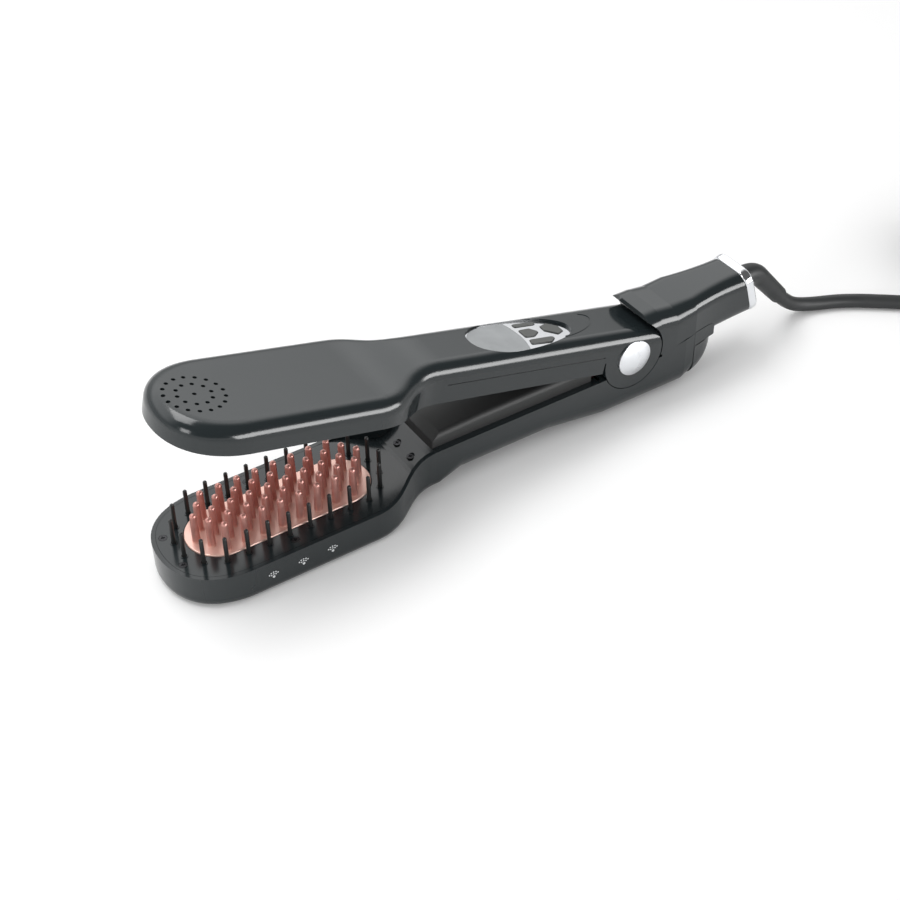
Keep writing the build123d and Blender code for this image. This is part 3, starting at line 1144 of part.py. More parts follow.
with BuildPart() as plug_body:
    loft([disc(plug_plane(0), cord_radius + 0.8), disc(plug_plane(RELIEF_LENGTH), cord_radius + 2.2)])
    loft([
        tube_section(plug_plane(RELIEF_LENGTH), 13.0, 12.0, 4.0),
        tube_section(plug_plane(RELIEF_LENGTH + 12), PLUG_WIDTH, PLUG_HEIGHT, 5.0),
    ])
    extrude(tube_section(plug_plane(RELIEF_LENGTH + 12), PLUG_WIDTH, PLUG_HEIGHT, 5.0),
            amount=PLUG_LENGTH - 12)
save(plug_body, "plug_body")
with BuildPart() as plug_pins:
    with BuildSketch(plug_plane(RELIEF_LENGTH + PLUG_LENGTH)) as pins:
        with GridLocations(PLUG_PIN_PITCH, 0, 2, 1):
            Circle(PLUG_PIN_RADIUS)
    extrude(pins.sketch, amount=PLUG_PIN_LENGTH)
    fillet(plug_pins.faces().sort_by(Axis(plug_root, plug_way))[-2:].edges(), 1.2)
save(plug_pins, "plug_pins")
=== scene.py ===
import math

import bpy
from mathutils import Matrix, Vector


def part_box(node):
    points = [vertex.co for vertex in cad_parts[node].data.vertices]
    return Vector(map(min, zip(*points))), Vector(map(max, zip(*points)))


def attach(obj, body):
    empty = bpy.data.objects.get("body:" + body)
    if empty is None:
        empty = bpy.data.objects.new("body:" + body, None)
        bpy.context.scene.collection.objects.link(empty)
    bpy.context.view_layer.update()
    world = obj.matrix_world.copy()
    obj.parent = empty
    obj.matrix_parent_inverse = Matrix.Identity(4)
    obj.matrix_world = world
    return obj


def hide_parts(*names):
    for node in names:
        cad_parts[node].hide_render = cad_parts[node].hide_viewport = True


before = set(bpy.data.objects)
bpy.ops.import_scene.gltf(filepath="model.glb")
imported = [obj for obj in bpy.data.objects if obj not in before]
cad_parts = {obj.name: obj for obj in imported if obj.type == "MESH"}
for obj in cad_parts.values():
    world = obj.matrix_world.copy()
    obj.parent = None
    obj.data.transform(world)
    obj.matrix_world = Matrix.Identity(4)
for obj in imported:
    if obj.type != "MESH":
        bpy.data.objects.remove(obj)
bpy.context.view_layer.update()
bpy.ops.object.select_all(action="DESELECT")
scene = bpy.context.scene
scene.view_settings.view_transform = "Standard"

# Camera: a long lens at the photograph's viewing angle, looking down on the near side.
# Its place was solved from the outlines of both arms, so it is given as angles, a distance and two steps.
TARGET = Vector((-0.090, 0.0, 0.020))
AZIMUTH = math.radians(-32.2)
ELEVATION = math.radians(40.22)
ROLL = math.radians(-1.03)
DISTANCE = 0.70979
SIDE_STEP = -0.00082
UP_STEP = 0.00970
SENSOR = 36.0
FOCAL_PIXELS = 1615.53
FRAME_PIXELS = 900
NEAR_CLIP = 0.01
along_floor = math.cos(ELEVATION)
back = Vector((math.sin(AZIMUTH) * along_floor, -math.cos(AZIMUTH) * along_floor, math.sin(ELEVATION)))
level_right = (-back).cross(Vector((0, 0, 1))).normalized()
level_up = level_right.cross(-back)
right = level_right * math.cos(ROLL) + level_up * math.sin(ROLL)
up = level_up * math.cos(ROLL) - level_right * math.sin(ROLL)
bpy.ops.object.camera_add(location=TARGET + back * DISTANCE - right * SIDE_STEP - up * UP_STEP)
camera = bpy.context.object
camera.rotation_euler = Matrix((right, up, back)).transposed().to_euler()
camera.data.sensor_width = SENSOR
camera.data.lens = SENSOR * FOCAL_PIXELS / FRAME_PIXELS
camera.data.clip_start = NEAR_CLIP
scene.camera = camera
bpy.ops.object.select_all(action="DESELECT")

# Floor: a sheet of matt white paper that keeps the object's soft shadow.
# A little white of its own lifts it to the backdrop for the camera. From below it is clear, so that the
# underside of the object can be looked at.
FLOOR_SIZE = 6.0
FLOOR_DROP = 0.0002
LIFT = 0.06
WHITE = (1, 1, 1, 1)


def srgb(code):
    """A colour written as on screen, turned to the linear values that a shader takes."""
    parts = [int(code[i:i + 2], 16) / 255 for i in (1, 3, 5)]
    return tuple(c / 12.92 if c <= 0.04045 else ((c + 0.055) / 1.055) ** 2.4 for c in parts) + (1.0,)


def add(tree, kind, sets=None, links=None, **props):
    """Adds a node: props are its own settings, sets fills its sockets, links joins them to other outputs."""
    node = tree.nodes.new(kind)
    for name, value in props.items():
        setattr(node, name, value)
    for name, value in (sets or {}).items():
        node.inputs[name].default_value = value
    for name, output in (links or {}).items():
        tree.links.new(output, node.inputs[name])
    return node


def blank(name):
    """A new material with nothing in it, and its node tree."""
    material = bpy.data.materials.new(name)
    material.use_nodes = True
    material.node_tree.nodes.clear()
    return material, material.node_tree


bpy.ops.mesh.primitive_plane_add(size=FLOOR_SIZE, location=(0, 0, -FLOOR_DROP))
floor = bpy.context.object
floor.name = "floor"
floor_paper, tree = blank("matt_white_paper")
rays = add(tree, "ShaderNodeLightPath")
seen = add(tree, "ShaderNodeMath", {1: LIFT}, {0: rays.outputs["Is Camera Ray"]}, operation="MULTIPLY")
paper = add(tree, "ShaderNodeBsdfPrincipled",
            {"Base Color": srgb("#f4f4f4"), "Roughness": 1.0, "Specular IOR Level": 0.0,
             "Emission Color": WHITE}, {"Emission Strength": seen.outputs["Value"]})
clear = add(tree, "ShaderNodeBsdfTransparent")
facing = add(tree, "ShaderNodeNewGeometry")
one_sided = add(tree, "ShaderNodeMixShader", None,
                {0: facing.outputs["Backfacing"], 1: paper.outputs["BSDF"], 2: clear.outputs["BSDF"]})
add(tree, "ShaderNodeOutputMaterial", None, {"Surface": one_sided.outputs["Shader"]})
floor.data.materials.append(floor_paper)

# Room: white for the camera and through clear plastic, and an even soft light on everything.
# Polished surfaces mirror it as white low down, with a front wall hung with dark cloth and a lit rear wall,
# so that the black shells show their edges and have paler tops.
ROOM_LIGHT = 0.72
room = bpy.data.worlds.new("white_studio")
scene.world = room
room.use_nodes = True
tree = room.node_tree
tree.nodes.clear()
rays = add(tree, "ShaderNodeLightPath")
direction = add(tree, "ShaderNodeTexCoord")
axes = add(tree, "ShaderNodeSeparateXYZ", None, {"Vector": direction.outputs["Generated"]})
front_wall = add(tree, "ShaderNodeMapRange",
                 {"From Min": 0.10, "From Max": 0.30, "To Min": 0.95, "To Max": 0.12},
                 {"Value": axes.outputs["Z"]}, interpolation_type="SMOOTHSTEP")
rear_wall = add(tree, "ShaderNodeMapRange",
                {"From Min": 0.22, "From Max": 0.48, "To Min": 0.62, "To Max": 1.75},
                {"Value": axes.outputs["Z"]}, interpolation_type="SMOOTHSTEP")
to_rear = add(tree, "ShaderNodeMapRange", {"From Min": -0.05, "From Max": 0.55},
              {"Value": axes.outputs["Y"]}, interpolation_type="SMOOTHSTEP")
mirrored = add(tree, "ShaderNodeMix", None,
               {"Factor": to_rear.outputs["Result"], "A": front_wall.outputs["Result"],
                "B": rear_wall.outputs["Result"]})
plain = add(tree, "ShaderNodeMath", None,
            {0: rays.outputs["Is Camera Ray"], 1: rays.outputs["Is Transmission Ray"]}, operation="MAXIMUM")
level = add(tree, "ShaderNodeMapRange", {"To Min": ROOM_LIGHT, "To Max": 1.0},
            {"Value": plain.outputs["Value"]})
shown = add(tree, "ShaderNodeMix", None,
            {"Factor": rays.outputs["Is Glossy Ray"], "A": level.outputs["Result"],
             "B": mirrored.outputs["Result"]})
sky = add(tree, "ShaderNodeBackground", {"Color": WHITE}, {"Strength": shown.outputs["Result"]})
add(tree, "ShaderNodeOutputWorld", None, {"Surface": sky.outputs["Background"]})

# Lamps: a box over the object, one off its tip, and a long strip low in front that draws the bright line
# along each near edge. The strip stands behind a louvre, so it shows in polish and lights nothing matt.
# Each has its place, its aim, its width and height, its power in watts, and whether it lights the room.
LAMPS = {
    "overhead_box": ((-0.35, 0.35, 1.1), (-0.1, 0.0, 0.03), 0.9, 0.5, 7.0, True),
    "front_strip": ((0.42, -0.86, 0.24), (-0.08, -0.02, 0.05), 1.1, 0.38, 12.0, False),
    "tip_box": ((-1.1, -0.3, 0.5), (-0.2, 0.0, 0.05), 0.3, 0.35, 2.0, True),
}
for name, (place, aim, width, height, power, lights_room) in LAMPS.items():
    bpy.ops.object.light_add(type="AREA", location=place)
    lamp = bpy.context.object
    lamp.name = name
    lamp.data.shape = "RECTANGLE"
    lamp.data.size = width
    lamp.data.size_y = height
    lamp.data.energy = power
    lamp.rotation_euler = (Vector(aim) - Vector(place)).to_track_quat("-Z", "Y").to_euler()
    lamp.visible_camera = False
    lamp.visible_diffuse = lights_room
bpy.ops.object.select_all(action="DESELECT")

# Shells: the bowl, covers and lids of both arms, in ABS moulded in polished steel tools.
# They are black and glossy, with the faint waviness of moulded plastic and slight smudges from handling.
WAVE = 0.009
SMUDGE = 0.030
NOISE_SPAN = {"From Min": 0.3, "From Max": 0.7}


def dress(material, *names):
    """Gives pieces of the frame their finish."""
    for name in names:
        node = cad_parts[name]
        if not node.material_slots:
            node.data.materials.append(material)
        for place in node.material_slots:
            place.material = material


shell_plastic, tree = blank("polished_black_abs")
place = add(tree, "ShaderNodeTexCoord").outputs["Object"]
wave = add(tree, "ShaderNodeTexNoise", {"Scale": 1 / WAVE, "Detail": 1.0}, {"Vector": place})
bump = add(tree, "ShaderNodeBump", {"Strength": 0.06, "Distance": 0.0002}, {"Height": wave.outputs["Fac"]})
smudge = add(tree, "ShaderNodeTexNoise", {"Scale": 1 / SMUDGE, "Detail": 4.0}, {"Vector": place})
rough = add(tree, "ShaderNodeMapRange", {**NOISE_SPAN, "To Min": 0.13, "To Max": 0.18},
            {"Value": smudge.outputs["Fac"]})
shader = add(tree, "ShaderNodeBsdfPrincipled", {"Base Color": srgb("#22282a"), "IOR": 1.52},
             {"Roughness": rough.outputs["Result"], "Normal": bump.outputs["Normal"]})
add(tree, "ShaderNodeOutputMaterial", None, {"Surface": shader.outputs["BSDF"]})
dress(shell_plastic, "lower_shell", "head_cover", "grip_cover", "tail_cover", "upper_shell",
      "upper_inner_cover")

# Tank hood: a moulded fairing on the rear of the lower shell, in the same black ABS.
# It closes the corner between the round underside of the tail and the flat top of the tank, which slides out
# below it. A block that tapers to the rear has the tail's own tapered round section cut out of it.
HOOD_FRONT = 0.0364
HOOD_REAR = 0.0495
HOOD_BOTTOM = 0.0216
HOOD_TOP = 0.0292
HOOD_HALF_WIDTH = 0.01505
HOOD_REAR_SHARE = 0.865
HOOD_REAR_DEPTH = 0.9
TAIL_FRONT = 0.020
TAIL_REAR = 0.070
TAIL_BOTTOM = 0.02295
TAIL_DEPTH = 0.024
TAIL_HALF_WIDTH = 0.01643
TAIL_TAPER = 0.671
TAIL_CORNER = 0.0065
CORNER_STEPS = 12
CREASE = math.radians(30)


def block(front, rear, half_width, bottom, top):
    """A closed block, astride the object's middle plane."""
    bpy.ops.object.select_all(action="DESELECT")
    bpy.ops.mesh.primitive_cube_add(size=1, location=((front + rear) / 2, 0, (bottom + top) / 2),
                                    scale=(rear - front, 2 * half_width, top - bottom))
    bpy.ops.object.transform_apply(location=True, rotation=True, scale=True)
    return bpy.context.object


def taper_rear(thing, front, rear, across, depth, height):
    """Scales the rear end of a block in width and in depth, about the middle plane at the given height."""
    bpy.ops.object.mode_set(mode="EDIT")
    bpy.ops.mesh.select_mode(type="VERT")
    bpy.ops.mesh.select_all(action="DESELECT")
    bpy.ops.object.mode_set(mode="OBJECT")
    for vertex in thing.data.vertices:
        vertex.select = vertex.co.x > (front + rear) / 2
    bpy.ops.object.mode_set(mode="EDIT")
    bpy.ops.transform.resize(value=(1, across, depth), center_override=(rear, 0, height))
    bpy.ops.object.mode_set(mode="OBJECT")


tank_hood = block(HOOD_FRONT, HOOD_REAR, HOOD_HALF_WIDTH, HOOD_BOTTOM, HOOD_TOP)
tank_hood.name = "tank_hood"
taper_rear(tank_hood, HOOD_FRONT, HOOD_REAR, HOOD_REAR_SHARE, HOOD_REAR_DEPTH, HOOD_TOP)

tail_core = block(TAIL_FRONT, TAIL_REAR, TAIL_HALF_WIDTH, TAIL_BOTTOM, TAIL_BOTTOM + TAIL_DEPTH)
corner = tail_core.modifiers.new("corner", "BEVEL")
corner.width = TAIL_CORNER
corner.segments = CORNER_STEPS
bpy.ops.object.modifier_apply(modifier="corner")
taper_rear(tail_core, TAIL_FRONT, TAIL_REAR, TAIL_TAPER, 1, TAIL_BOTTOM)
# The taper leaves its long faces slightly twisted; as triangles they are cut cleanly
bpy.ops.object.mode_set(mode="EDIT")
bpy.ops.mesh.select_all(action="SELECT")
bpy.ops.mesh.quads_convert_to_tris()
bpy.ops.object.mode_set(mode="OBJECT")

bpy.ops.object.select_all(action="DESELECT")
tank_hood.select_set(True)
bpy.context.view_layer.objects.active = tank_hood
cut = tank_hood.modifiers.new("round_tail", "BOOLEAN")
cut.operation = "DIFFERENCE"
cut.object = tail_core
cut.solver = "MANIFOLD"
bpy.ops.object.modifier_apply(modifier="round_tail")
bpy.data.objects.remove(tail_core, do_unlink=True)
bpy.ops.object.shade_smooth_by_angle(angle=CREASE)
bpy.ops.object.select_all(action="DESELECT")
# The cut leaves an empty slot, which is taken off first
tank_hood.data.materials.clear()
tank_hood.data.materials.append(shell_plastic)
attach(tank_hood, "lower_arm")

# Vapour signs: three small signs pad-printed in white ink on the near side of the head.
# Each is a round nozzle with a fan of dots over it, in a film a few hundredths of a millimetre thick that
# dries to an uneven satin.
SIGN_PLACES = (-0.1926, -0.1787, -0.1650)
SIGN_HEIGHT = 0.0078
INK = 0.00006
INK_SUNK = 0.1
NOZZLE = 0.00062
DOT = 0.00034
FAN_ROWS = ((0.00150, (-42, 0, 42)), (0.00250, (-52, -26, 0, 26, 52)))
DOT_SIDES = 20
INK_SPECK = 0.0005
side_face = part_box("lower_shell")[0][1]
ink_middle = side_face - INK * (0.5 - INK_SUNK)
bpy.ops.object.select_all(action="DESELECT")
dots = []
for x in SIGN_PLACES:
    spots = [(x, SIGN_HEIGHT, NOZZLE)]
    for reach, angles in FAN_ROWS:
        for angle in angles:
            turned = math.radians(angle)
            spots.append((x + reach * math.sin(turned), SIGN_HEIGHT + reach * math.cos(turned), DOT))
    for across, height, radius in spots:
        bpy.ops.mesh.primitive_cylinder_add(vertices=DOT_SIDES, radius=radius, depth=INK,
                                            location=(across, ink_middle, height),
                                            rotation=(math.pi / 2, 0, 0))
        dots.append(bpy.context.object)
for dot in dots:
    dot.select_set(True)
bpy.context.view_layer.objects.active = dots[0]
bpy.ops.object.join()
vapour_signs = bpy.context.object
vapour_signs.name = "vapour_signs"
bpy.ops.object.transform_apply(location=True, rotation=True, scale=True)
bpy.ops.object.select_all(action="DESELECT")

white_ink, tree = blank("pad_printed_white_ink")
place = add(tree, "ShaderNodeTexCoord").outputs["Object"]
speck = add(tree, "ShaderNodeTexNoise", {"Scale": 1 / INK_SPECK, "Detail": 3.0}, {"Vector": place})
rough = add(tree, "ShaderNodeMapRange", {**NOISE_SPAN, "To Min": 0.45, "To Max": 0.6},
            {"Value": speck.outputs["Fac"]})
shader = add(tree, "ShaderNodeBsdfPrincipled", {"Base Color": srgb("#d9dcdd")},
             {"Roughness": rough.outputs["Result"]})
add(tree, "ShaderNodeOutputMaterial", None, {"Surface": shader.outputs["BSDF"]})
vapour_signs.data.materials.append(white_ink)
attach(vapour_signs, "lower_arm")

# Board housing: the raised block along the lower grip, in black ABS from a spark-eroded tool.
# The tool leaves it matt and finely pitted. The pits are drawn coarser than the real ones, so that they show.
HOUSING_PIT = 0.0005
housing_plastic, tree = blank("spark_eroded_black_abs")
place = add(tree, "ShaderNodeTexCoord").outputs["Object"]
pits = add(tree, "ShaderNodeTexNoise", {"Scale": 1 / HOUSING_PIT, "Detail": 3.0}, {"Vector": place})
bump = add(tree, "ShaderNodeBump", {"Strength": 0.3, "Distance": 0.0001}, {"Height": pits.outputs["Fac"]})
shader = add(tree, "ShaderNodeBsdfPrincipled",
             {"Base Color": srgb("#262727"), "Roughness": 0.62, "IOR": 1.52},
             {"Normal": bump.outputs["Normal"]})
add(tree, "ShaderNodeOutputMaterial", None, {"Surface": shader.outputs["BSDF"]})
dress(housing_plastic, "inner_housing")

# Comb: die-cast aluminium, sprayed with a copper-coloured ceramic coating that has a soft metallic shine.
# The flat plate is painted paler than the sides of the teeth, as painted light: a painted glow on the plate.
# The coating is also slightly cloudy all over.
PLATE_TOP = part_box("head_cover")[1][2]
TOOTH_FOOT = 0.0012
COATING_CLOUD = 0.005
COATING_SPECK = 0.0004
comb_coating, tree = blank("copper_ceramic_coating")
place = add(tree, "ShaderNodeTexCoord").outputs["Object"]
axes = add(tree, "ShaderNodeSeparateXYZ", None, {"Vector": place})
# Painted glow: below the foot of the teeth the plate takes the pale colour #eec6b8, painted light on the flat
# plate.
painted_plate_glow_fade = add(tree, "ShaderNodeMapRange", {"From Min": PLATE_TOP, "From Max": PLATE_TOP + TOOTH_FOOT},
               {"Value": axes.outputs["Z"]})
cloud = add(tree, "ShaderNodeTexNoise", {"Scale": 1 / COATING_CLOUD, "Detail": 3.0}, {"Vector": place})
cloudy = add(tree, "ShaderNodeMapRange", {**NOISE_SPAN, "To Min": 0.0, "To Max": 1.0},
             {"Value": cloud.outputs["Fac"]})
tooth_tone = add(tree, "ShaderNodeMix", {"A": srgb("#c8877d"), "B": srgb("#d59c91")},
                 {"Factor": cloudy.outputs["Result"]}, data_type="RGBA")
tone = add(tree, "ShaderNodeMix", {"A": srgb("#eec6b8")},
           {"Factor": painted_plate_glow_fade.outputs["Result"], "B": tooth_tone.outputs["Result"]}, data_type="RGBA")
speck = add(tree, "ShaderNodeTexNoise", {"Scale": 1 / COATING_SPECK, "Detail": 3.0}, {"Vector": place})
bump = add(tree, "ShaderNodeBump", {"Strength": 0.08, "Distance": 0.0001}, {"Height": speck.outputs["Fac"]})
shader = add(tree, "ShaderNodeBsdfPrincipled",
             {"Metallic": 0.45, "Roughness": 0.34, "Coat Weight": 0.3, "Coat Roughness": 0.15},
             {"Base Color": tone.outputs["Result"], "Normal": bump.outputs["Normal"]})
add(tree, "ShaderNodeOutputMaterial", None, {"Surface": shader.outputs["BSDF"]})
dress(comb_coating, "comb_plate")

# Pins, bushes, tank socket, cord clamp and cord tie: heat-resistant nylon, moulded matt black.
# Its skin is very finely pitted, drawn coarser here than it is, so that it shows.
NYLON_PIT = 0.0004
nylon, tree = blank("moulded_black_nylon")
place = add(tree, "ShaderNodeTexCoord").outputs["Object"]
pits = add(tree, "ShaderNodeTexNoise", {"Scale": 1 / NYLON_PIT, "Detail": 3.0}, {"Vector": place})
bump = add(tree, "ShaderNodeBump", {"Strength": 0.12, "Distance": 0.0001}, {"Height": pits.outputs["Fac"]})
shader = add(tree, "ShaderNodeBsdfPrincipled",
             {"Base Color": srgb("#1d1e1e"), "Roughness": 0.42, "IOR": 1.53},
             {"Normal": bump.outputs["Normal"]})
add(tree, "ShaderNodeOutputMaterial", None, {"Surface": shader.outputs["BSDF"]})
dress(nylon, "side_pins", "hinge_bushes", "tank_socket", "cord_clamp", "cord_tie")

# Heater and thermistor: a flat ceramic heater and its sensor, pressed from alumina powder and sintered.
# They come out off-white and chalky, with a fine sandy skin.
HEATER_GRIT = 0.0003
sintered, tree = blank("sintered_alumina")
place = add(tree, "ShaderNodeTexCoord").outputs["Object"]
grit = add(tree, "ShaderNodeTexNoise", {"Scale": 1 / HEATER_GRIT, "Detail": 3.0}, {"Vector": place})
bump = add(tree, "ShaderNodeBump", {"Strength": 0.2, "Distance": 0.0001}, {"Height": grit.outputs["Fac"]})
shader = add(tree, "ShaderNodeBsdfPrincipled", {"Base Color": srgb("#e9e4da"), "Roughness": 0.7},
             {"Normal": bump.outputs["Normal"]})
add(tree, "ShaderNodeOutputMaterial", None, {"Surface": shader.outputs["BSDF"]})
dress(sintered, "ceramic_heater", "thermistor")

# Steam chamber: the tray under the comb, die-cast in aluminium and left as it comes from the mould.
# It is dull, with a coarse sandy skin.
CASTING_GRIT = 0.0009
casting, tree = blank("die_cast_aluminium")
place = add(tree, "ShaderNodeTexCoord").outputs["Object"]
grit = add(tree, "ShaderNodeTexNoise", {"Scale": 1 / CASTING_GRIT, "Detail": 3.0}, {"Vector": place})
bump = add(tree, "ShaderNodeBump", {"Strength": 0.3, "Distance": 0.0001}, {"Height": grit.outputs["Fac"]})
shader = add(tree, "ShaderNodeBsdfPrincipled",
             {"Base Color": srgb("#b9babb"), "Metallic": 1.0, "Roughness": 0.5},
             {"Normal": bump.outputs["Normal"]})
add(tree, "ShaderNodeOutputMaterial", None, {"Surface": shader.outputs["BSDF"]})
dress(casting, "steam_chamber")

# Seals, hoses and tank plug: silicone rubber, moulded or drawn, and pushed into place without glue.
# It is milky and lets a little light in, with a soft uneven sheen.
SILICONE_CLOUD = 0.004
silicone, tree = blank("translucent_silicone")
place = add(tree, "ShaderNodeTexCoord").outputs["Object"]
cloud = add(tree, "ShaderNodeTexNoise", {"Scale": 1 / SILICONE_CLOUD, "Detail": 3.0}, {"Vector": place})
rough = add(tree, "ShaderNodeMapRange", {**NOISE_SPAN, "To Min": 0.4, "To Max": 0.55},
            {"Value": cloud.outputs["Fac"]})
shader = add(tree, "ShaderNodeBsdfPrincipled",
             {"Base Color": srgb("#dcdcd8"), "Subsurface Weight": 0.2, "Subsurface Scale": 0.002},
             {"Roughness": rough.outputs["Result"]})
add(tree, "ShaderNodeOutputMaterial", None, {"Surface": shader.outputs["BSDF"]})
dress(silicone, "chamber_seal", "steam_hose", "suction_hose", "tank_plug", "tank_seal")

# Boards: glass-fibre laminate under green solder mask, where the weave shows as a faint change of tone.
# The weave is drawn about twice as coarse as it is, so that it shows.
WEAVE = 0.0012
laminate, tree = blank("solder_masked_laminate")
place = add(tree, "ShaderNodeTexCoord").outputs["Object"]
weave = add(tree, "ShaderNodeTexNoise", {"Scale": 1 / WEAVE, "Detail": 3.0}, {"Vector": place})
woven = add(tree, "ShaderNodeMapRange", {**NOISE_SPAN, "To Min": 0.0, "To Max": 1.0},
            {"Value": weave.outputs["Fac"]})
tone = add(tree, "ShaderNodeMix", {"A": srgb("#1f6b3c"), "B": srgb("#2a7d49")},
           {"Factor": woven.outputs["Result"]}, data_type="RGBA")
shader = add(tree, "ShaderNodeBsdfPrincipled", {"Roughness": 0.35}, {"Base Color": tone.outputs["Result"]})
add(tree, "ShaderNodeOutputMaterial", None, {"Surface": shader.outputs["BSDF"]})
dress(laminate, "power_board", "control_board")

# Parts on the boards, display module, key switches and pump: their bodies are moulded in black epoxy.
# It is matt and slightly sandy.
EPOXY_GRIT = 0.0005
epoxy, tree = blank("moulded_epoxy_components")
place = add(tree, "ShaderNodeTexCoord").outputs["Object"]
grit = add(tree, "ShaderNodeTexNoise", {"Scale": 1 / EPOXY_GRIT, "Detail": 3.0}, {"Vector": place})
bump = add(tree, "ShaderNodeBump", {"Strength": 0.2, "Distance": 0.0001}, {"Height": grit.outputs["Fac"]})
shader = add(tree, "ShaderNodeBsdfPrincipled", {"Base Color": srgb("#3a3b3d"), "Roughness": 0.55},
             {"Normal": bump.outputs["Normal"]})
add(tree, "ShaderNodeOutputMaterial", None, {"Surface": shader.outputs["BSDF"]})
dress(epoxy, "board_parts", "water_pump", "display_module", "key_switches")

# Leads: fine stranded wire drawn through red silicone, which stands the heat beside the comb.
# They are satin, with patches of more and less shine.
LEAD_CLOUD = 0.003
insulation, tree = blank("red_silicone_insulation")
place = add(tree, "ShaderNodeTexCoord").outputs["Object"]
cloud = add(tree, "ShaderNodeTexNoise", {"Scale": 1 / LEAD_CLOUD, "Detail": 3.0}, {"Vector": place})
rough = add(tree, "ShaderNodeMapRange", {**NOISE_SPAN, "To Min": 0.45, "To Max": 0.6},
            {"Value": cloud.outputs["Fac"]})
shader = add(tree, "ShaderNodeBsdfPrincipled", {"Base Color": srgb("#a33a30")},
             {"Roughness": rough.outputs["Result"]})
add(tree, "ShaderNodeOutputMaterial", None, {"Surface": shader.outputs["BSDF"]})
dress(insulation, "mains_leads", "heater_leads", "hinge_leads")

# Water tank: the reservoir that slides into the rear of the lower arm, moulded in clear copolyester.
# It has a smoky tint, and its polished walls are a little cloudy with use.
TANK_CLOUD = 0.010
tank_plastic, tree = blank("smoked_copolyester")
place = add(tree, "ShaderNodeTexCoord").outputs["Object"]
cloud = add(tree, "ShaderNodeTexNoise", {"Scale": 1 / TANK_CLOUD, "Detail": 3.0}, {"Vector": place})
rough = add(tree, "ShaderNodeMapRange", {**NOISE_SPAN, "To Min": 0.08, "To Max": 0.16},
            {"Value": cloud.outputs["Fac"]})
shader = add(tree, "ShaderNodeBsdfPrincipled",
             {"Base Color": srgb("#3c4042"), "IOR": 1.57, "Transmission Weight": 0.35},
             {"Roughness": rough.outputs["Result"]})
add(tree, "ShaderNodeOutputMaterial", None, {"Surface": shader.outputs["BSDF"]})
dress(tank_plastic, "water_tank")

# Power cord: a round two-core mains lead, 7 mm thick and 1.72 m long outside its guard, in an extruded rubber
# jacket. It drops from the guard to the table, runs off to the side, is coiled in four layers and tied, and
# ends in a two-pin plug. The rubber is matt black with a fine grain, and shinier where it is worn.
CORD = 0.007
on_floor = CORD / 2
COIL_FLOOR = 0.0045
ROUTE = [
    (0.1020, 0.0, 0.0165), (0.10933, 0.0, 0.0083), (0.1215, -0.0010, on_floor), (0.1390, -0.0082, on_floor),
    (0.1570, -0.0216, on_floor), (0.1745, -0.0364, on_floor), (0.1895, -0.0499, 0.0040),
    (0.2070, -0.0567, COIL_FLOOR), (0.2235, -0.0567, COIL_FLOOR),
]
PITCH = 0.00745
LAYERS = 4
LAYER_TURNS = 1.5
CLIMB_TURNS = 0.5
MEAN_RADIUS = 0.035
POINTS_PER_TURN = 18
CURVE_ORDER = 3
STEPS_PER_POINT = 8
QUARTER_STEPS = 6
coil_turns = LAYERS * LAYER_TURNS + CLIMB_TURNS
outer_radius = MEAN_RADIUS + PITCH * LAYER_TURNS / 2
coil_start = Vector(ROUTE[-1]) + Vector((CORD, 0, 0))
coil_centre = coil_start + Vector((0, outer_radius, 0))
# The curve touches the middle of each step between its points, so the points lie a little outside the coil
outside = 1 / math.cos(math.pi / POINTS_PER_TURN)
route = [Vector(p) for p in ROUTE]
for i in range(int(coil_turns * POINTS_PER_TURN)):
    turn = (i + 0.5) / POINTS_PER_TURN
    layer, into_layer = divmod(turn, LAYER_TURNS)
    inward = LAYER_TURNS - into_layer if layer % 2 else into_layer
    radius = (outer_radius - PITCH * inward) * outside
    lift = 0
    for k in range(1, LAYERS + 1):
        climb = min(max((turn - k * LAYER_TURNS) / CLIMB_TURNS + 0.5, 0.0), 1.0)
        lift += PITCH * climb * climb * (3 - 2 * climb)
    angle = math.tau * turn - math.pi / 2
    route.append(coil_centre + Vector((radius * math.cos(angle), radius * math.sin(angle), lift)))
# From the top of the coil the lead goes round over it to the plug, on points measured from the coil's axis
LEAD_START = 0.009
LEAD = [
    (-0.0289, 0.0315, 0.0003), (-0.0388, 0.0216, 0.0013), (-0.0442, 0.0087, 0.0029),
    (-0.0442, -0.0053, 0.0049), (-0.0388, -0.0182, 0.0071), (-0.0289, -0.0281, 0.0093),
    (-0.0160, -0.0335, 0.0106), (-0.0040, -0.0335, 0.0106),
]
top = coil_centre + Vector((0, 0, PITCH * LAYERS))
end_radius = outer_radius - PITCH / 2
route += [top + Vector((-CORD, end_radius, 0)), top + Vector((-CORD - LEAD_START, end_radius, 0))]
route += [top + Vector(p) for p in LEAD]
line = bpy.data.curves.new("mains_cord", "CURVE")
line.dimensions = "3D"
line.bevel_depth = CORD / 2
line.bevel_resolution = QUARTER_STEPS
line.resolution_u = STEPS_PER_POINT
line.use_fill_caps = True
spline = line.splines.new("NURBS")
spline.points.add(len(route) - 1)
for point, place in zip(spline.points, route):
    point.co = (*place, 1.0)
spline.order_u = CURVE_ORDER
spline.use_endpoint_u = True
mains_cord = bpy.data.objects.new("mains_cord", line)
scene.collection.objects.link(mains_cord)

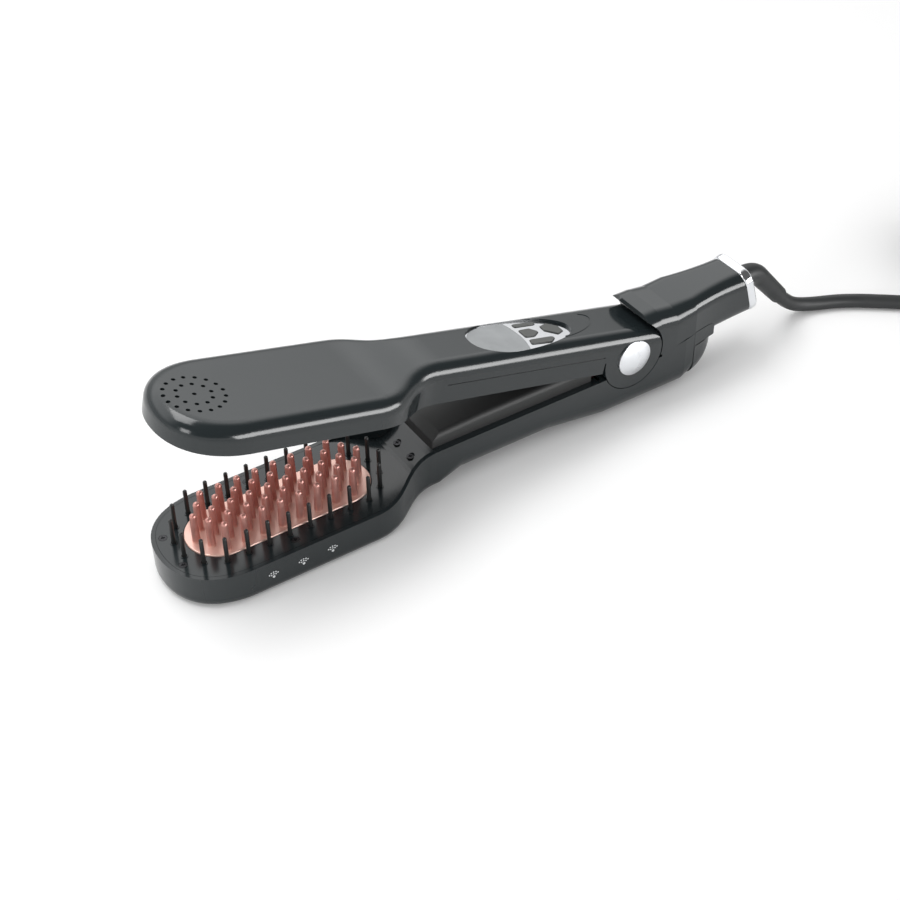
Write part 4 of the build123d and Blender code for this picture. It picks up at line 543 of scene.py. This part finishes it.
JACKET_GRAIN = 0.0006
JACKET_WEAR = 0.014
rubber, tree = blank("moulded_rubber_jacket")
place = add(tree, "ShaderNodeTexCoord").outputs["Object"]
fine = add(tree, "ShaderNodeTexNoise", {"Scale": 1 / JACKET_GRAIN, "Detail": 3.0}, {"Vector": place})
bump = add(tree, "ShaderNodeBump", {"Strength": 0.15, "Distance": 0.0001}, {"Height": fine.outputs["Fac"]})
worn = add(tree, "ShaderNodeTexNoise", {"Scale": 1 / JACKET_WEAR, "Detail": 3.0}, {"Vector": place})
rough = add(tree, "ShaderNodeMapRange", {**NOISE_SPAN, "To Min": 0.42, "To Max": 0.58},
            {"Value": worn.outputs["Fac"]})
shader = add(tree, "ShaderNodeBsdfPrincipled", {"Base Color": srgb("#2a2c2d"), "Specular IOR Level": 0.4},
             {"Roughness": rough.outputs["Result"], "Normal": bump.outputs["Normal"]})
add(tree, "ShaderNodeOutputMaterial", None, {"Surface": shader.outputs["BSDF"]})
line.materials.append(rubber)
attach(mains_cord, "lower_arm")
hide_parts("power_cord", "cord_coil", "plug_lead")
dress(rubber, "cord_guard", "plug_body")

# Plug pins: brass rod under nickel plate, moulded into the plug.
# They are bright, with a warm cast and the slight haze of handling.
PIN_HAZE = 0.002
brass, tree = blank("nickel_plated_brass")
place = add(tree, "ShaderNodeTexCoord").outputs["Object"]
haze = add(tree, "ShaderNodeTexNoise", {"Scale": 1 / PIN_HAZE, "Detail": 3.0}, {"Vector": place})
rough = add(tree, "ShaderNodeMapRange", {**NOISE_SPAN, "To Min": 0.16, "To Max": 0.26},
            {"Value": haze.outputs["Fac"]})
shader = add(tree, "ShaderNodeBsdfPrincipled", {"Base Color": srgb("#d8d2c4"), "Metallic": 1.0},
             {"Roughness": rough.outputs["Result"]})
add(tree, "ShaderNodeOutputMaterial", None, {"Surface": shader.outputs["BSDF"]})
dress(brass, "plug_pins")

# Hinge pin, opening spring, heater clamp and fuse: steel, turned, wound or pressed, and plated with zinc.
# They are grey, with a fine uneven sheen.
STEEL_GRAIN = 0.0008
steel, tree = blank("zinc_plated_steel")
place = add(tree, "ShaderNodeTexCoord").outputs["Object"]
sheen = add(tree, "ShaderNodeTexNoise", {"Scale": 1 / STEEL_GRAIN, "Detail": 3.0}, {"Vector": place})
rough = add(tree, "ShaderNodeMapRange", {**NOISE_SPAN, "To Min": 0.28, "To Max": 0.42},
            {"Value": sheen.outputs["Fac"]})
shader = add(tree, "ShaderNodeBsdfPrincipled", {"Base Color": srgb("#b4b5b6"), "Metallic": 1.0},
             {"Roughness": rough.outputs["Result"]})
add(tree, "ShaderNodeOutputMaterial", None, {"Surface": shader.outputs["BSDF"]})
dress(steel, "hinge_pin", "opening_spring", "heater_clamp", "thermal_fuse")

# Tail ring and keypad bezel: ABS moulded in polished tools, under bright chrome plate.
# They mirror the room, with a trace of smudging.
CHROME_SMUDGE = 0.006
bright_chrome, tree = blank("bright_chrome_plate")
place = add(tree, "ShaderNodeTexCoord").outputs["Object"]
smudge = add(tree, "ShaderNodeTexNoise", {"Scale": 1 / CHROME_SMUDGE, "Detail": 3.0}, {"Vector": place})
rough = add(tree, "ShaderNodeMapRange", {**NOISE_SPAN, "To Min": 0.06, "To Max": 0.12},
            {"Value": smudge.outputs["Fac"]})
shader = add(tree, "ShaderNodeBsdfPrincipled", {"Base Color": srgb("#e9ebee"), "Metallic": 1.0},
             {"Roughness": rough.outputs["Result"]})
add(tree, "ShaderNodeOutputMaterial", None, {"Surface": shader.outputs["BSDF"]})
dress(bright_chrome, "tail_ring", "keypad_bezel")

# Hinge caps: domed ABS buttons over the ends of the hinge, under the same plate on a blasted surface.
# That turns the chrome satin, so that they glow pale all over.
SATIN_GRAIN = 0.003
satin_chrome, tree = blank("satin_chrome_plate")
place = add(tree, "ShaderNodeTexCoord").outputs["Object"]
sheen = add(tree, "ShaderNodeTexNoise", {"Scale": 1 / SATIN_GRAIN, "Detail": 3.0}, {"Vector": place})
rough = add(tree, "ShaderNodeMapRange", {**NOISE_SPAN, "To Min": 0.26, "To Max": 0.34},
            {"Value": sheen.outputs["Fac"]})
shader = add(tree, "ShaderNodeBsdfPrincipled", {"Base Color": srgb("#e4e6e9"), "Metallic": 1.0},
             {"Roughness": rough.outputs["Result"]})
add(tree, "ShaderNodeOutputMaterial", None, {"Surface": shader.outputs["BSDF"]})
dress(satin_chrome, "hinge_cap_near", "hinge_cap_far")

# Display window: clear polished acrylic over a liquid crystal panel that is switched off.
# The panel shows as an uneven grey under the window's gloss.
PANEL_HAZE = 0.012
window_glass, tree = blank("acrylic_over_grey_display")
place = add(tree, "ShaderNodeTexCoord").outputs["Object"]
haze = add(tree, "ShaderNodeTexNoise", {"Scale": 1 / PANEL_HAZE, "Detail": 3.0}, {"Vector": place})
hazy = add(tree, "ShaderNodeMapRange", {**NOISE_SPAN, "To Min": 0.0, "To Max": 1.0},
           {"Value": haze.outputs["Fac"]})
tone = add(tree, "ShaderNodeMix", {"A": srgb("#787c7e"), "B": srgb("#8a8e90")},
           {"Factor": hazy.outputs["Result"]}, data_type="RGBA")
shader = add(tree, "ShaderNodeBsdfPrincipled",
             {"Roughness": 0.25, "Coat Weight": 1.0, "Coat Roughness": 0.03},
             {"Base Color": tone.outputs["Result"]})
add(tree, "ShaderNodeOutputMaterial", None, {"Surface": shader.outputs["BSDF"]})
dress(window_glass, "display_window")

# Keys: four keys moulded in dark grey plastic, with a satin face that is finely pitted for grip.
# The pits are drawn coarser than they are, so that they show.
KEY_PIT = 0.0004
key_plastic, tree = blank("satin_grey_key_plastic")
place = add(tree, "ShaderNodeTexCoord").outputs["Object"]
pits = add(tree, "ShaderNodeTexNoise", {"Scale": 1 / KEY_PIT, "Detail": 3.0}, {"Vector": place})
bump = add(tree, "ShaderNodeBump", {"Strength": 0.15, "Distance": 0.0001}, {"Height": pits.outputs["Fac"]})
shader = add(tree, "ShaderNodeBsdfPrincipled", {"Base Color": srgb("#4a4c4a"), "Roughness": 0.4},
             {"Normal": bump.outputs["Normal"]})
add(tree, "ShaderNodeOutputMaterial", None, {"Surface": shader.outputs["BSDF"]})
dress(key_plastic, "key_far", "key_near", "key_centre", "key_nose")

# Screws: steel screws with cross recesses, chemically blackened, which hold the shells together.
# They are dark, with a dull metal sheen.
SCREW_GRAIN = 0.0008
black_steel, tree = blank("blackened_steel_screw")
place = add(tree, "ShaderNodeTexCoord").outputs["Object"]
sheen = add(tree, "ShaderNodeTexNoise", {"Scale": 1 / SCREW_GRAIN, "Detail": 3.0}, {"Vector": place})
rough = add(tree, "ShaderNodeMapRange", {**NOISE_SPAN, "To Min": 0.3, "To Max": 0.45},
            {"Value": sheen.outputs["Fac"]})
shader = add(tree, "ShaderNodeBsdfPrincipled", {"Base Color": srgb("#3c3c3e"), "Metallic": 1.0},
             {"Roughness": rough.outputs["Result"]})
add(tree, "ShaderNodeOutputMaterial", None, {"Surface": shader.outputs["BSDF"]})
dress(black_steel, "lower_screws", "tail_screws", "upper_screws")
